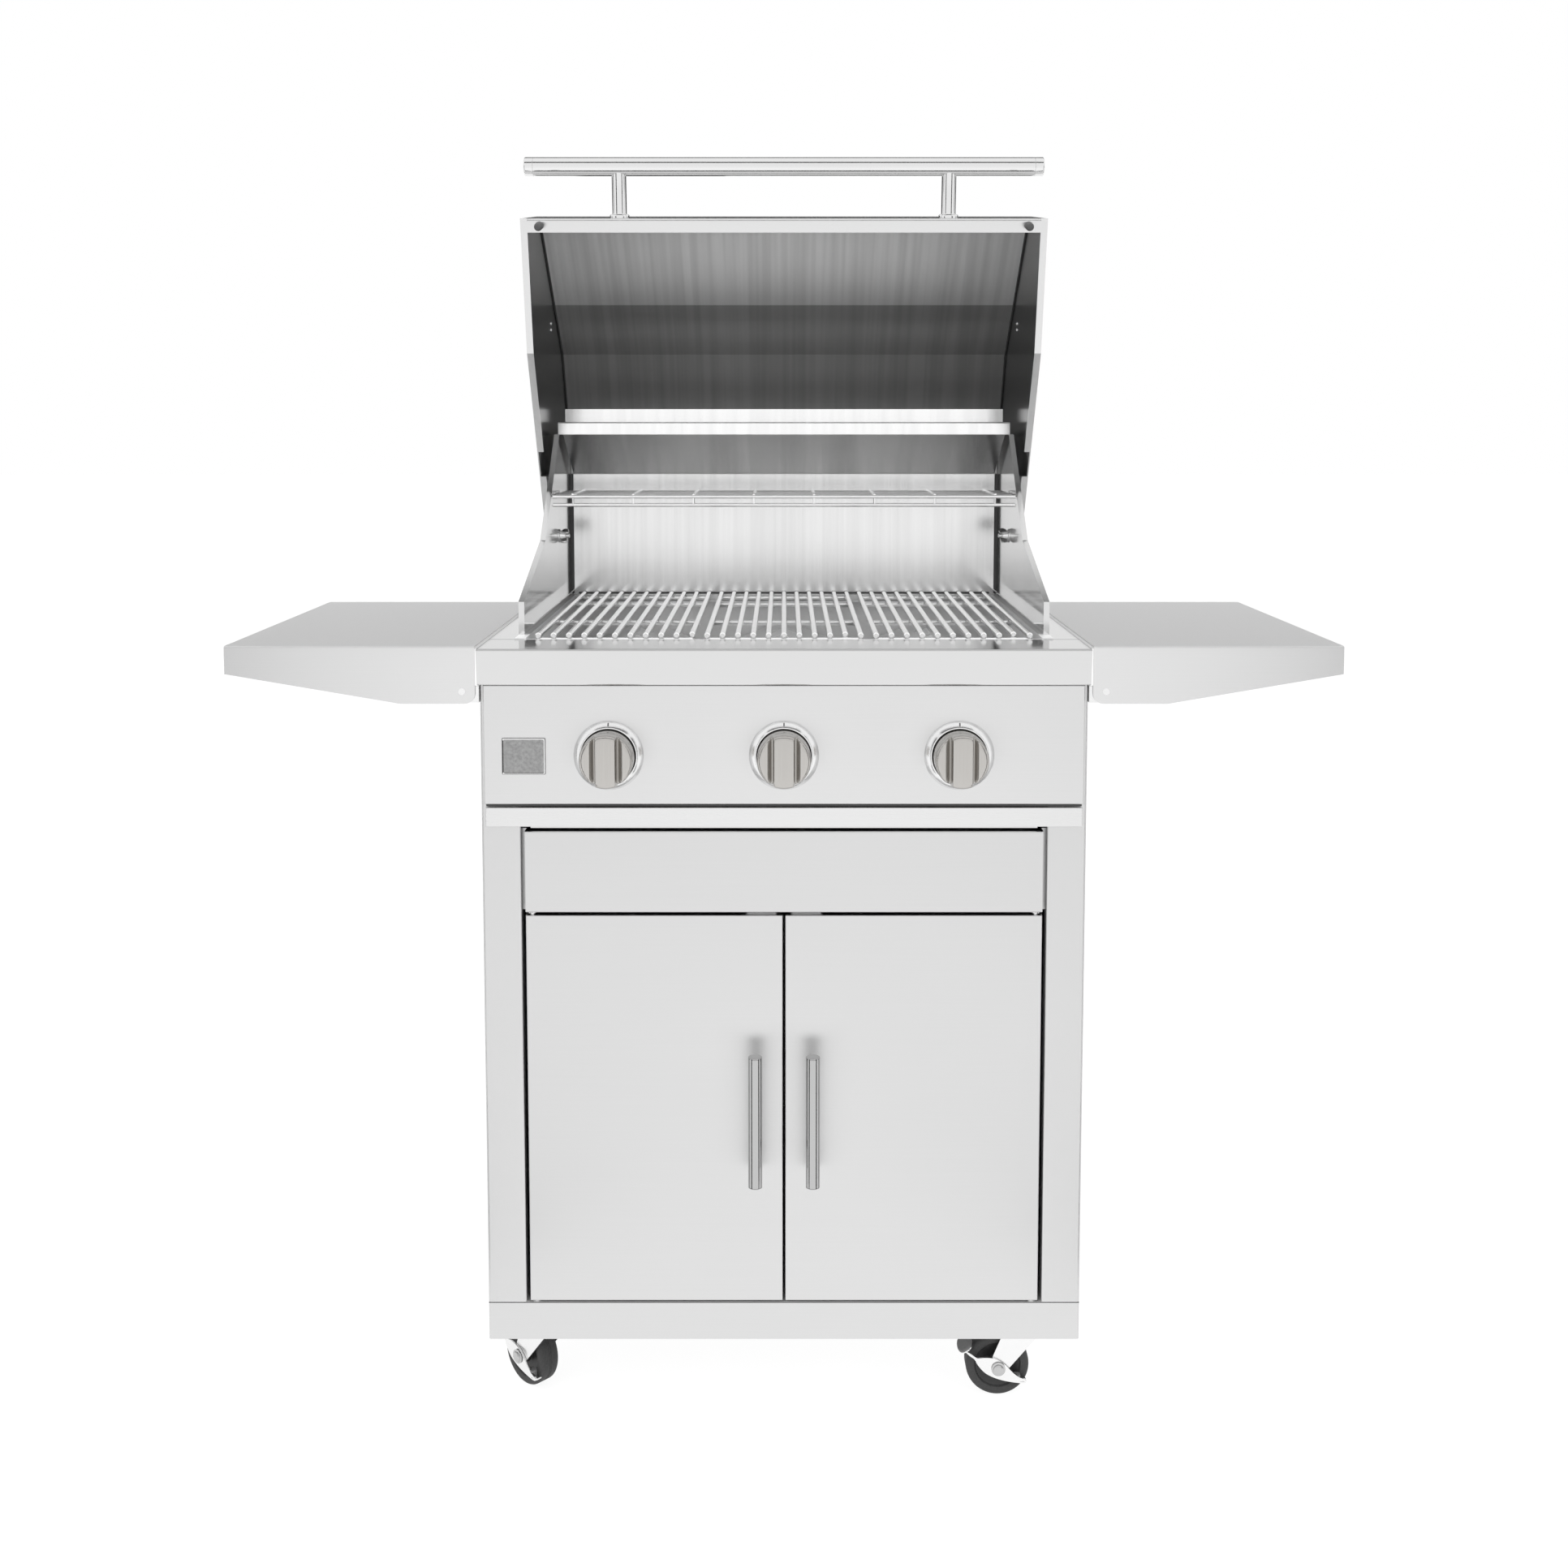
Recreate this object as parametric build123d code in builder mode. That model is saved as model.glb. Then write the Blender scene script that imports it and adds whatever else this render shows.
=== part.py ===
"""Free-standing gas barbecue grill on a two-door cart, lid open, in millimetres.

+Z is up and the front faces -Y. Depths are counted back from the front trim's face, so the sketch
planes side(), plan() and front() below take (depth, height), (x, depth) and (x, height).
"""

import os
from math import cos, hypot, radians, sin

from build123d import *

# Sheet metal and fits
SHEET = 1.5
BEND = 2.5
RUNNING = 0.05
MOVING_GAP = 1.0

# Cart
CART_WIDTH = 694
CART_FRONT = 12
CART_DEPTH = 560
POST_FACE = 45
POST_LIP = 15
POST_SIDE = 30
PANEL_SEAM = 0.3
PLINTH_BOTTOM = 94
PLINTH_HEIGHT = 44
BACK_DROP = 2
VENT_RISE = 100
VENT_DROP = 170
REAR_RETURN = 27

# Doors and the blank panel over them
DOOR_THICKNESS = 16
DOOR_FLOOR_GAP = 1.5
DOOR_SIDE_GAP = 4.2
DOOR_MIDDLE_GAP = 3
PIVOT_INSET = 7
PIVOT_SETBACK = 7.5
PIVOT_RADIUS = 3
DOOR_HANDLE_X = 33
DOOR_HANDLE_RADIUS = 8
DOOR_HANDLE_LENGTH = 154
DOOR_HANDLE_DROP = 232
DOOR_HANDLE_STANDOFF = 32
FASCIA_HEIGHT = 96
FASCIA_GAP = 3
FASCIA_DROP = 5

# Grill head
TRIM_OVERHANG = 2
TRIM_HEIGHT = 42
TRIM_LEAN = 5
LEDGE_DEPTH = 85
COUNTER = 914
HEAD_OVERHANG = 3
PANEL_FACE = 8
PANEL_INSET = 4
PANEL_DROP = 180
PANEL_GAP = 0.5

# Firebox, its rising side wings and the rear
HEAD_BORDER = 42
BOX_DROP = 169
BOX_REAR_GAP = 2
BOX_FLANGE = 13
WING_GAP = 6
WING_FRONT = 115
WING_HEM = 5.5
WING_KNEE = (258, 99.5)
LEDGE_RISE = 16
REAR_CAVITY = 17
BAFFLE_GAP = 5
THROAT_DROP = 58
BAR_AHEAD = 113.5
BAR_RISE = 237
BAR_HEIGHT = 17
STRIP_AHEAD = 34
STRIP_HEIGHT = 18
REAR_SHELL_RISE = 234
SHELL_VENT_RISE = 124.5
NUT_PLACE = (121, 95.5)

# Cooking parts
ROD_RADIUS = 3.2
GRATE_SIDE_GAP = 13.8
CROSS_ROD_AHEAD = 171.5
CROSS_ROD_BEHIND = 88
RODS_PER_GRATE = 11
GRATE_RISE = 7
GRATE_END_GAP = 3
RACK_RISE = 156
RACK_AHEAD = 219
RACK_DEPTH = 131
RACK_ROD = 2.5
RACK_ROD_COUNT = 8
RACK_SIDE_GAP = 27
TAMER_GAP = 32
TAMER_RISE = 34
TAMER_DROP = 68
BURNER_RADIUS = 17
BURNER_MOUTH = 15
BURNER_DROP = 102
BURNER_MARGIN = 5
BURNER_NOSE = 10.5

# Gas controls
KNOB_DROP = 123
KNOB_RADIUS = 30.5
KNOB_REACH = 44
KNOB_PUSH = 4
BEZEL_RADIUS = 40
BEZEL_HEIGHT = 8
STEM_RADIUS = 4
MANIFOLD_DEPTH = 55
MANIFOLD_DROP = 19
MANIFOLD_RADIUS = 9
INLET_DROP = 104
INLET_RADIUS = 7.9

# Drip tray
TRAY_INSET = 15
TRAY_DROP = 2
TRAY_HEIGHT = 22
TRAY_REAR_GAP = 44
TRAY_AHEAD = 5
TRAY_STRIP = 22
TRAY_STRIP_GAP = 3
TRAY_STRIP_INSET = 2

# Lid, drawn closed about its hinge and then swung open
LID_OVERHANG = 25
LID_BORDER = 18
LID_EDGE = 8.5
LID_LIP = 17.5
LID_OPEN = 76
LIP_SETBACK = 10
LIP_RISE = 18
BROW_STEP = (17, 150)
ROOF_FRONT = (-147, 171)
ROOF_REAR = (-12, 206)
BACK_TOP = (78, 178)
BACK_BOTTOM = (83, 96)
EDGE_STEP = (172, 3)
EDGE_REAR = (43, -65)
HINGE_AHEAD = 76
HINGE_RISE = 170
HINGE_RADIUS = 5
LID_HANDLE_RADIUS = 12
LID_HANDLE_OVERHANG = 2.5
LID_HANDLE_REACH = 64
LID_POST_RADIUS = 9.5
LID_POST_INSET = 118
LID_POST_RISE = 70
BUMPER_RADIUS = 5.2
BUMPER_INSET = 24

# Side shelves
SHELF_GAP = 4
SHELF_WIDTH = 284
SHELF_FRONT = 4
SHELF_DEPTH = 450
SHELF_RISE = 3
APRON_INNER = 66
APRON_OUTER = 32
APRON_FLAT = 85
SHELF_PIVOT_IN = 15
SHELF_PIVOT_UP = 14
SHELF_PIN_RADIUS = 4

# Castors
CASTOR_INSET = 60
CASTOR_FRONT = 65
CASTOR_REAR_INSET = 72
WHEEL_RADIUS = 38
WHEEL_WIDTH = 26
CASTOR_TRAIL = 30
CASTOR_PLATE = 3
FORK_SHEET = 2.5
AXLE_RADIUS = 4
KINGPIN_RADIUS = 6

os.makedirs("parts", exist_ok=True)

# Heights that several pieces share
plinth_top = PLINTH_BOTTOM + PLINTH_HEIGHT
floor_top = plinth_top + SHEET
trim_bottom = COUNTER - TRIM_HEIGHT
flange_top = COUNTER + SHEET
cabinet_top = trim_bottom - BACK_DROP
panel_bottom = COUNTER - PANEL_DROP
tray_strip_top = panel_bottom - TRAY_STRIP_GAP
tray_strip_bottom = tray_strip_top - TRAY_STRIP
tray_bottom = tray_strip_bottom - TRAY_DROP
fascia_top = tray_bottom - FASCIA_DROP
fascia_bottom = fascia_top - FASCIA_HEIGHT
door_top = fascia_bottom - FASCIA_GAP
door_handle_middle = door_top - DOOR_HANDLE_DROP
box_bottom = COUNTER - BOX_DROP
ledge_height = COUNTER + LEDGE_RISE
bar_bottom = COUNTER + BAR_RISE
rear_shell_top = COUNTER + REAR_SHELL_RISE
grate_top = COUNTER + GRATE_RISE
rack_height = COUNTER + RACK_RISE
tamer_foot = COUNTER - TAMER_DROP
burner_height = COUNTER - BURNER_DROP
knob_height = COUNTER - KNOB_DROP
manifold_height = knob_height - MANIFOLD_DROP
inlet_height = manifold_height - INLET_DROP
hinge_height = COUNTER + HINGE_RISE
shelf_top = COUNTER + SHELF_RISE

# Depths that several pieces share
cart_rear = CART_FRONT + CART_DEPTH
head_depth = cart_rear + HEAD_OVERHANG
rear_wall = head_depth - REAR_CAVITY
box_front = LEDGE_DEPTH + SHEET
box_rear = rear_wall - BOX_REAR_GAP
bar_depth = rear_wall - BAR_AHEAD
strip_depth = rear_wall - STRIP_AHEAD
rack_front = rear_wall - RACK_AHEAD
hinge_depth = rear_wall - HINGE_AHEAD
tray_front = CART_FRONT - TRAY_AHEAD
tray_length = box_rear - TRAY_REAR_GAP - tray_front
castor_rear = cart_rear - CASTOR_REAR_INSET
knob_front = PANEL_FACE - KNOB_REACH
knob_back = PANEL_FACE - KNOB_PUSH - MOVING_GAP

# Widths and half-widths that several pieces share
cart_half = CART_WIDTH / 2
opening_half = cart_half - POST_FACE
trim_width = CART_WIDTH + 2 * TRIM_OVERHANG
panel_width = CART_WIDTH - 2 * PANEL_INSET
tray_strip_width = panel_width - 2 * TRAY_STRIP_INSET
box_half = cart_half - HEAD_BORDER
tray_half = box_half - TRAY_INSET
wing_half = box_half + WING_GAP
wing_outer = wing_half + SHEET
baffle_half = wing_half - BAFFLE_GAP
grate_half = box_half - GRATE_SIDE_GAP
rod_pitch = 2 * grate_half / (3 * RODS_PER_GRATE - 1)
knob_spacing = 2 * (box_half - BURNER_MARGIN) / 3
tamer_width = knob_spacing - TAMER_GAP
lid_half = box_half + LID_OVERHANG
lid_handle_length = 2 * (lid_half + LID_HANDLE_OVERHANG)
lid_post_x = lid_half - LID_POST_INSET
bumper_x = lid_half - BUMPER_INSET
shelf_inner = cart_half + SHELF_GAP
castor_x = cart_half - CASTOR_INSET

# Lid corners as depth and height from the hinge, lid closed
lip = (LEDGE_DEPTH + LIP_SETBACK - hinge_depth, COUNTER + LIP_RISE - hinge_height)
brow = (lip[0] + BROW_STEP[0], lip[1] + BROW_STEP[1])
edge_bend = (lip[0] + EDGE_STEP[0], lip[1] + EDGE_STEP[1])

# The whole part is centred front to back between the knobs and the open lid
swing = radians(-LID_OPEN)
lid_reach = hinge_depth + ROOF_REAR[0] * cos(swing) - ROOF_REAR[1] * sin(swing)
TRIM_Y = -(lid_reach + knob_front) / 2


def side(x=0):
    """Plane of (depth, height) at x, facing +X."""
    return Plane(origin=(x, TRIM_Y, 0), x_dir=(0, 1, 0), z_dir=(1, 0, 0))


def plan(z):
    """Plane of (x, depth) at height z, facing up."""
    return Plane(origin=(0, TRIM_Y, z), x_dir=(1, 0, 0), z_dir=(0, 0, 1))


def front(depth):
    """Plane of (x, height) at a depth, facing forward."""
    return Plane(origin=(0, TRIM_Y + depth, 0), x_dir=(1, 0, 0), z_dir=(0, -1, 0))


def folded(points, thickness, bend, turn):
    """Face of a bent sheet whose outer skin follows the points."""
    with BuildLine() as skin:
        FilletPolyline(*points, radius=bend)
        offset(amount=thickness, side=turn)
    make_face(skin.edges())


def save(part, name):
    part.label = name
    export_step(part, f"parts/{name}.step")


# Plinth tray and the cabinet floor that closes it
with BuildPart() as base_plinth:
    with BuildSketch(plan(PLINTH_BOTTOM)):
        with Locations((0, CART_FRONT + CART_DEPTH / 2)):
            Rectangle(CART_WIDTH, CART_DEPTH)
    extrude(amount=PLINTH_HEIGHT)
    fillet(base_plinth.edges().filter_by(Axis.Z), BEND)
    with BuildSketch(plan(plinth_top)):
        with Locations((0, CART_FRONT + CART_DEPTH / 2)):
            Rectangle(CART_WIDTH - 4, CART_DEPTH - 4)
    extrude(amount=2 - PLINTH_HEIGHT, mode=Mode.SUBTRACT)
save(base_plinth.part, "base_plinth")

with BuildPart() as cabinet_floor:
    with BuildSketch(plan(plinth_top)):
        with Locations((0, CART_FRONT + CART_DEPTH / 2)):
            RectangleRounded(CART_WIDTH, CART_DEPTH, BEND)
    extrude(amount=SHEET)
save(cabinet_floor.part, "cabinet_floor")

# Cart sides, each a folded front post, a flat sheet behind it and a strip that the back panel lies on
sheet_front = CART_FRONT + POST_SIDE + PANEL_SEAM
strip_outer = cart_half - SHEET - PANEL_SEAM
for name, hand, turn in (("left", -1, Side.RIGHT), ("right", 1, Side.LEFT)):
    with BuildPart() as post:
        with BuildSketch(plan(floor_top)):
            folded(
                [
                    (hand * opening_half, CART_FRONT + POST_LIP),
                    (hand * opening_half, CART_FRONT),
                    (hand * cart_half, CART_FRONT),
                    (hand * cart_half, CART_FRONT + POST_SIDE),
                ],
                SHEET,
                BEND,
                turn,
            )
        extrude(amount=trim_bottom - floor_top)
    with BuildPart() as sheet:
        with BuildSketch(plan(floor_top)):
            with Locations((hand * (cart_half - SHEET / 2), (sheet_front + cart_rear) / 2)):
                Rectangle(SHEET, cart_rear - sheet_front)
        extrude(amount=trim_bottom - floor_top)
    with BuildPart() as strip:
        with BuildSketch(plan(floor_top)):
            with Locations((hand * (strip_outer - REAR_RETURN / 2), cart_rear - SHEET / 2)):
                Rectangle(REAR_RETURN, SHEET)
        extrude(amount=trim_bottom - floor_top)
    pieces = post.part.solids() + sheet.part.solids() + strip.part.solids()
    save(Compound(pieces), f"side_panel_{name}")

with BuildPart() as back_panel:
    with BuildSketch(front(cart_rear - SHEET)):
        with Locations((0, (floor_top + cabinet_top) / 2)):
            Rectangle(CART_WIDTH - 4 * SHEET, cabinet_top - floor_top)
        for row in (floor_top + VENT_RISE, cabinet_top - VENT_DROP):
            with Locations((0, row)):
                with GridLocations(90, 1, 5, 1):
                    SlotOverall(60, 8, mode=Mode.SUBTRACT)
    extrude(amount=SHEET)
save(back_panel.part, "back_panel")

# Blank panel over the doors: its lower return carries the upper hinge pins and the catches
fascia_half = opening_half - DOOR_SIDE_GAP
ear_depth = CART_FRONT + POST_LIP
with BuildPart() as top_fascia:
    with BuildSketch(side(-fascia_half)):
        folded(
            [
                (ear_depth + SHEET, fascia_top),
                (CART_FRONT, fascia_top),
                (CART_FRONT, fascia_bottom),
                (CART_FRONT + 40, fascia_bottom),
            ],
            SHEET,
            BEND,
            Side.LEFT,
        )
    extrude(amount=2 * fascia_half)
    for hand in (-1, 1):
        with BuildSketch(plan(fascia_bottom)):
            with Locations((hand * (fascia_half - SHEET / 2), (CART_FRONT + BEND + ear_depth + SHEET) / 2)):
                Rectangle(SHEET, ear_depth + SHEET - CART_FRONT - BEND)
            with Locations((hand * (fascia_half + 8), ear_depth + SHEET / 2)):
                Rectangle(20, SHEET)
        extrude(amount=FASCIA_HEIGHT)
save(top_fascia.part, "top_fascia")

with BuildPart() as door_catches:
    with BuildSketch(plan(fascia_bottom)):
        for hand in (-1, 1):
            with Locations((hand * 26, CART_FRONT + DOOR_THICKNESS + 11)):
                Rectangle(34, 18)
    extrude(amount=-13)
save(door_catches.part, "door_catches")

# Doors: hollow double-skinned leaves, each on an upper and a lower pivot pin
door_bottom = floor_top + DOOR_FLOOR_GAP
door_outer = opening_half - DOOR_SIDE_GAP
door_inner = DOOR_MIDDLE_GAP / 2
door_width = door_outer - door_inner
door_height = door_top - door_bottom
pivot_x = door_outer - PIVOT_INSET
pivot_depth = CART_FRONT + PIVOT_SETBACK

with BuildPart() as door_hinge_pins:
    for hand in (-1, 1):
        with Locations((hand * pivot_x, TRIM_Y + pivot_depth, floor_top)):
            Cylinder(PIVOT_RADIUS + 3, 1, align=(Align.CENTER, Align.CENTER, Align.MIN))
            Cylinder(PIVOT_RADIUS, 12, align=(Align.CENTER, Align.CENTER, Align.MIN))
        with Locations((hand * pivot_x, TRIM_Y + pivot_depth, fascia_bottom)):
            Cylinder(PIVOT_RADIUS + 3, 1, align=(Align.CENTER, Align.CENTER, Align.MAX))
            Cylinder(PIVOT_RADIUS, 14, align=(Align.CENTER, Align.CENTER, Align.MAX))
save(door_hinge_pins.part, "door_hinge_pins")

for name, hand in (("left", -1), ("right", 1)):
    middle = (hand * (door_inner + door_width / 2), door_bottom + door_height / 2)
    with BuildPart() as door:
        with BuildSketch(front(CART_FRONT + DOOR_THICKNESS)):
            with Locations(middle):
                Rectangle(door_width, door_height)
        extrude(amount=DOOR_THICKNESS)
        fillet(door.faces().sort_by(Axis.Y)[0].edges(), 1.2)
        with BuildSketch(front(CART_FRONT + DOOR_THICKNESS - SHEET)):
            with Locations(middle):
                Rectangle(door_width - 2 * SHEET, door_height - 2 * SHEET)
        extrude(amount=DOOR_THICKNESS - 2 * SHEET, mode=Mode.SUBTRACT)
        with BuildSketch(plan(door_bottom)):
            with Locations((hand * pivot_x, pivot_depth)):
                Circle(PIVOT_RADIUS + RUNNING)
        extrude(amount=door_height, mode=Mode.SUBTRACT)
    save(door.part, f"door_{name}")

    grip_depth = CART_FRONT - DOOR_HANDLE_STANDOFF
    grip_bottom = door_handle_middle - DOOR_HANDLE_LENGTH / 2
    with BuildPart() as door_handle:
        with BuildSketch(plan(grip_bottom)):
            with Locations((hand * DOOR_HANDLE_X, grip_depth)):
                Circle(DOOR_HANDLE_RADIUS)
        extrude(amount=DOOR_HANDLE_LENGTH)
        fillet(door_handle.edges().filter_by(GeomType.CIRCLE), 1.5)
        with BuildSketch(front(CART_FRONT)):
            with Locations((hand * DOOR_HANDLE_X, door_handle_middle)):
                with GridLocations(1, DOOR_HANDLE_LENGTH - 48, 1, 2):
                    Circle(5)
        extrude(amount=DOOR_HANDLE_STANDOFF)
    save(door_handle.part, f"door_handle_{name}")

# Front trim with the landing ledge, closed at both ends
with BuildPart() as front_trim:
    trim_line = [
        (LEDGE_DEPTH, COUNTER - 14),
        (LEDGE_DEPTH, COUNTER),
        (0, COUNTER),
        (TRIM_LEAN, trim_bottom),
        (CART_FRONT + 12, trim_bottom),
    ]
    with BuildSketch(side(-trim_width / 2)):
        folded(trim_line, SHEET, BEND, Side.LEFT)
    extrude(amount=trim_width)
    for x in (-trim_width / 2, trim_width / 2 - SHEET):
        with BuildSketch(side(x)):
            with BuildLine():
                Polyline(
                    (LEDGE_DEPTH - SHEET, COUNTER - SHEET),
                    (LEDGE_DEPTH - SHEET, trim_bottom),
                    (TRIM_LEAN + SHEET, trim_bottom),
                    (SHEET, COUNTER - SHEET),
                    close=True,
                )
            make_face()
        extrude(amount=SHEET)
save(front_trim.part, "front_trim")

# Top frame round the firebox: two side rims and the rear one, with skirts down to the cart
with BuildPart() as top_frame:
    with BuildSketch(plan(trim_bottom)):
        with Locations((0, (LEDGE_DEPTH + head_depth) / 2)):
            Rectangle(trim_width, head_depth - LEDGE_DEPTH)
    extrude(amount=TRIM_HEIGHT)
    fillet(top_frame.faces().sort_by(Axis.Z)[-1].edges().sort_by(Axis.Y)[-1:], BEND)
    with BuildSketch(plan(trim_bottom)):
        with Locations((0, (LEDGE_DEPTH + head_depth - SHEET) / 2)):
            Rectangle(trim_width - 2 * SHEET, head_depth - SHEET - LEDGE_DEPTH)
    extrude(amount=TRIM_HEIGHT - SHEET, mode=Mode.SUBTRACT)
    with BuildSketch(plan(COUNTER)):
        with Locations((0, (LEDGE_DEPTH + box_rear + 2 * SHEET) / 2)):
            Rectangle(2 * (box_half + SHEET), box_rear + 2 * SHEET - LEDGE_DEPTH)
    extrude(amount=-SHEET, mode=Mode.SUBTRACT)
    with BuildSketch(plan(trim_bottom)):
        for hand in (-1, 1):
            with Locations((hand * (cart_half - 8), (LEDGE_DEPTH + head_depth) / 2)):
                Rectangle(16 + trim_width - CART_WIDTH - 2 * SHEET, head_depth - LEDGE_DEPTH - 2 * SHEET)
    extrude(amount=SHEET)
save(top_frame.part, "top_frame")

# Control panel: a shallow pan on the posts, with a hole for each valve stem
panel_top = trim_bottom - PANEL_GAP
with BuildPart() as control_panel:
    with BuildSketch(front(CART_FRONT)):
        with Locations((0, (panel_bottom + panel_top) / 2)):
            Rectangle(panel_width, panel_top - panel_bottom)
    extrude(amount=CART_FRONT - PANEL_FACE)
    fillet(control_panel.faces().sort_by(Axis.Y)[0].edges(), 1.2)
    with BuildSketch(front(CART_FRONT)):
        with Locations((0, (panel_bottom + panel_top) / 2)):
            Rectangle(panel_width - 2 * SHEET, panel_top - panel_bottom - 2 * SHEET)
    extrude(amount=CART_FRONT - PANEL_FACE - SHEET, mode=Mode.SUBTRACT)
    with BuildSketch(front(CART_FRONT)):
        with Locations((0, knob_height)):
            with GridLocations(knob_spacing, 1, 3, 1):
                Circle(STEM_RADIUS + 4)
    extrude(amount=CART_DEPTH, mode=Mode.SUBTRACT)
save(control_panel.part, "control_panel")

# Firebox: an open box hung by its flange, with ledges for the grates and the flame tamers
box_length = box_rear - box_front
box_middle = (box_front + box_rear) / 2
grate_rest = grate_top - 4 * ROD_RADIUS
with BuildPart() as firebox_shell:
    with BuildSketch(plan(box_bottom)):
        with Locations((0, box_middle)):
            Rectangle(2 * (box_half + SHEET), box_length + 2 * SHEET)
    extrude(amount=COUNTER - box_bottom)
    with BuildSketch(plan(COUNTER)):
        for hand in (-1, 1):
            with Locations((hand * (box_half + BOX_FLANGE / 2), box_middle)):
                Rectangle(BOX_FLANGE, box_length + 2 * SHEET)
        with Locations((0, box_rear + 7)):
            Rectangle(2 * (box_half + BOX_FLANGE), 14)
    extrude(amount=SHEET)
    with BuildSketch(plan(box_bottom + SHEET)):
        with Locations((0, box_middle)):
            Rectangle(2 * box_half, box_length)
    extrude(amount=COUNTER, mode=Mode.SUBTRACT)
    with BuildSketch(side(-box_half)):
        for ledge, reach in ((grate_rest, 14), (tamer_foot, 12)):
            with Locations((box_front + reach / 2, ledge - SHEET / 2)):
                Rectangle(reach, SHEET)
            with Locations((box_rear - reach / 2, ledge - SHEET / 2)):
                Rectangle(reach, SHEET)
    extrude(amount=2 * box_half)
    with BuildSketch(plan(box_bottom)):
        with Locations((0, box_middle)):
            Circle(50)
    extrude(amount=SHEET, mode=Mode.SUBTRACT)
    with BuildSketch(front(box_front)):
        with Locations((0, burner_height)):
            with GridLocations(knob_spacing, 1, 3, 1):
                Circle(BURNER_MOUTH)
    extrude(amount=SHEET, mode=Mode.SUBTRACT)
save(firebox_shell.part, "firebox_shell")

# Side wings: the firebox walls that rise to the rear, hemmed outward, with an inner ledge and a rack rest
wing_outline = [
    (WING_FRONT, flange_top),
    (WING_FRONT, ledge_height + 25),
    (rear_wall - WING_KNEE[0], flange_top + WING_KNEE[1]),
    (bar_depth + SHEET, bar_bottom),
    (bar_depth + SHEET, bar_bottom + BAR_HEIGHT / 2),
    (rear_wall, bar_bottom - 1),
    (rear_wall, flange_top),
]
for name, hand, turn in (("left", -1, Side.RIGHT), ("right", 1, Side.RIGHT)):
    with BuildPart() as wing:
        with BuildSketch(side(hand * wing_half)):
            with BuildLine():
                Polyline(*wing_outline, close=True)
            make_face()
        extrude(amount=hand * SHEET)
        with BuildSketch(side(hand * wing_outer)):
            with BuildLine() as hem:
                Polyline(*wing_outline[:4])
                offset(amount=SHEET, side=turn)
            make_face(hem.edges())
        extrude(amount=hand * WING_HEM)
        with BuildSketch(front(rear_wall)):
            with Locations((hand * (wing_half - 6), ledge_height - SHEET / 2)):
                Rectangle(12, SHEET)
        extrude(amount=rear_wall - WING_FRONT)
        with BuildSketch(plan(rack_height - RACK_ROD)):
            with Locations((hand * (wing_half - 5), rack_front + RACK_DEPTH / 2 + 24)):
                Rectangle(10, RACK_DEPTH - 44)
        extrude(amount=-3)
    save(wing.part, f"wing_{name}")

# Rear baffle: inner wall, forward-leaning throat, front lip bar and the upstand behind it
with BuildPart() as rear_baffle:
    with BuildSketch(side(-baffle_half)):
        folded(
            [(rear_wall, flange_top), (rear_wall, bar_bottom - THROAT_DROP), (bar_depth + SHEET, bar_bottom + 1)],
            SHEET,
            BEND,
            Side.RIGHT,
        )
    extrude(amount=2 * baffle_half)
    with BuildSketch(side(-wing_outer)):
        folded(
            [
                (bar_depth, bar_bottom),
                (bar_depth, bar_bottom + BAR_HEIGHT),
                (strip_depth, bar_bottom + BAR_HEIGHT),
            ],
            SHEET,
            BEND,
            Side.RIGHT,
        )
        with Locations((strip_depth - SHEET / 2, bar_bottom + BAR_HEIGHT + STRIP_HEIGHT / 2 - SHEET / 2)):
            Rectangle(SHEET, STRIP_HEIGHT + SHEET)
    extrude(amount=2 * wing_outer)
save(rear_baffle.part, "rear_baffle")

# Rear shell: the outer back of the head, wrapped round the wings
shell_half = wing_outer + SHEET
with BuildPart() as rear_shell:
    with BuildSketch(plan(flange_top)):
        folded(
            [
                (-shell_half, head_depth - 40),
                (-shell_half, head_depth),
                (shell_half, head_depth),
                (shell_half, head_depth - 40),
            ],
            SHEET,
            BEND,
            Side.RIGHT,
        )
    extrude(amount=rear_shell_top - flange_top)
    with BuildSketch(front(head_depth)):
        with Locations((0, flange_top + SHELL_VENT_RISE)):
            with GridLocations(96, 40, 6, 2):
                SlotOverall(70, 7)
    extrude(amount=SHEET, mode=Mode.SUBTRACT)
save(rear_shell.part, "rear_shell")

# Cooking grates: bars front to back on cross bars, one bar per grate cut short
grate_front = box_front + GRATE_END_GAP
grate_rear = box_rear - GRATE_END_GAP
rod_height = grate_top - ROD_RADIUS
for index, (name, short) in enumerate((("left", 10), ("center", 9), ("right", 9))):
    first = index * RODS_PER_GRATE * rod_pitch - grate_half
    last = first + (RODS_PER_GRATE - 1) * rod_pitch
    with BuildPart() as grate:
        with BuildSketch(front(grate_rear)):
            for rod in range(RODS_PER_GRATE):
                if rod != short:
                    with Locations((first + rod * rod_pitch, rod_height)):
                        RegularPolygon(ROD_RADIUS, 10)
        extrude(amount=grate_rear - grate_front)
        with BuildSketch(front(grate_rear)):
            with Locations((first + short * rod_pitch, rod_height)):
                RegularPolygon(ROD_RADIUS, 10)
        extrude(amount=grate_rear - grate_front - 9)
        with BuildSketch(side(first - ROD_RADIUS / 2)):
            middle_rods = (grate_front + CROSS_ROD_AHEAD, grate_rear - CROSS_ROD_BEHIND)
            for depth in (grate_front + 4, *middle_rods, grate_rear - 4):
                with Locations((depth, rod_height - 2 * ROD_RADIUS + 0.3)):
                    RegularPolygon(ROD_RADIUS + 0.3, 8, rotation=22.5)
        extrude(amount=last - first + ROD_RADIUS)
    save(grate.part, f"grate_{name}")

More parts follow.
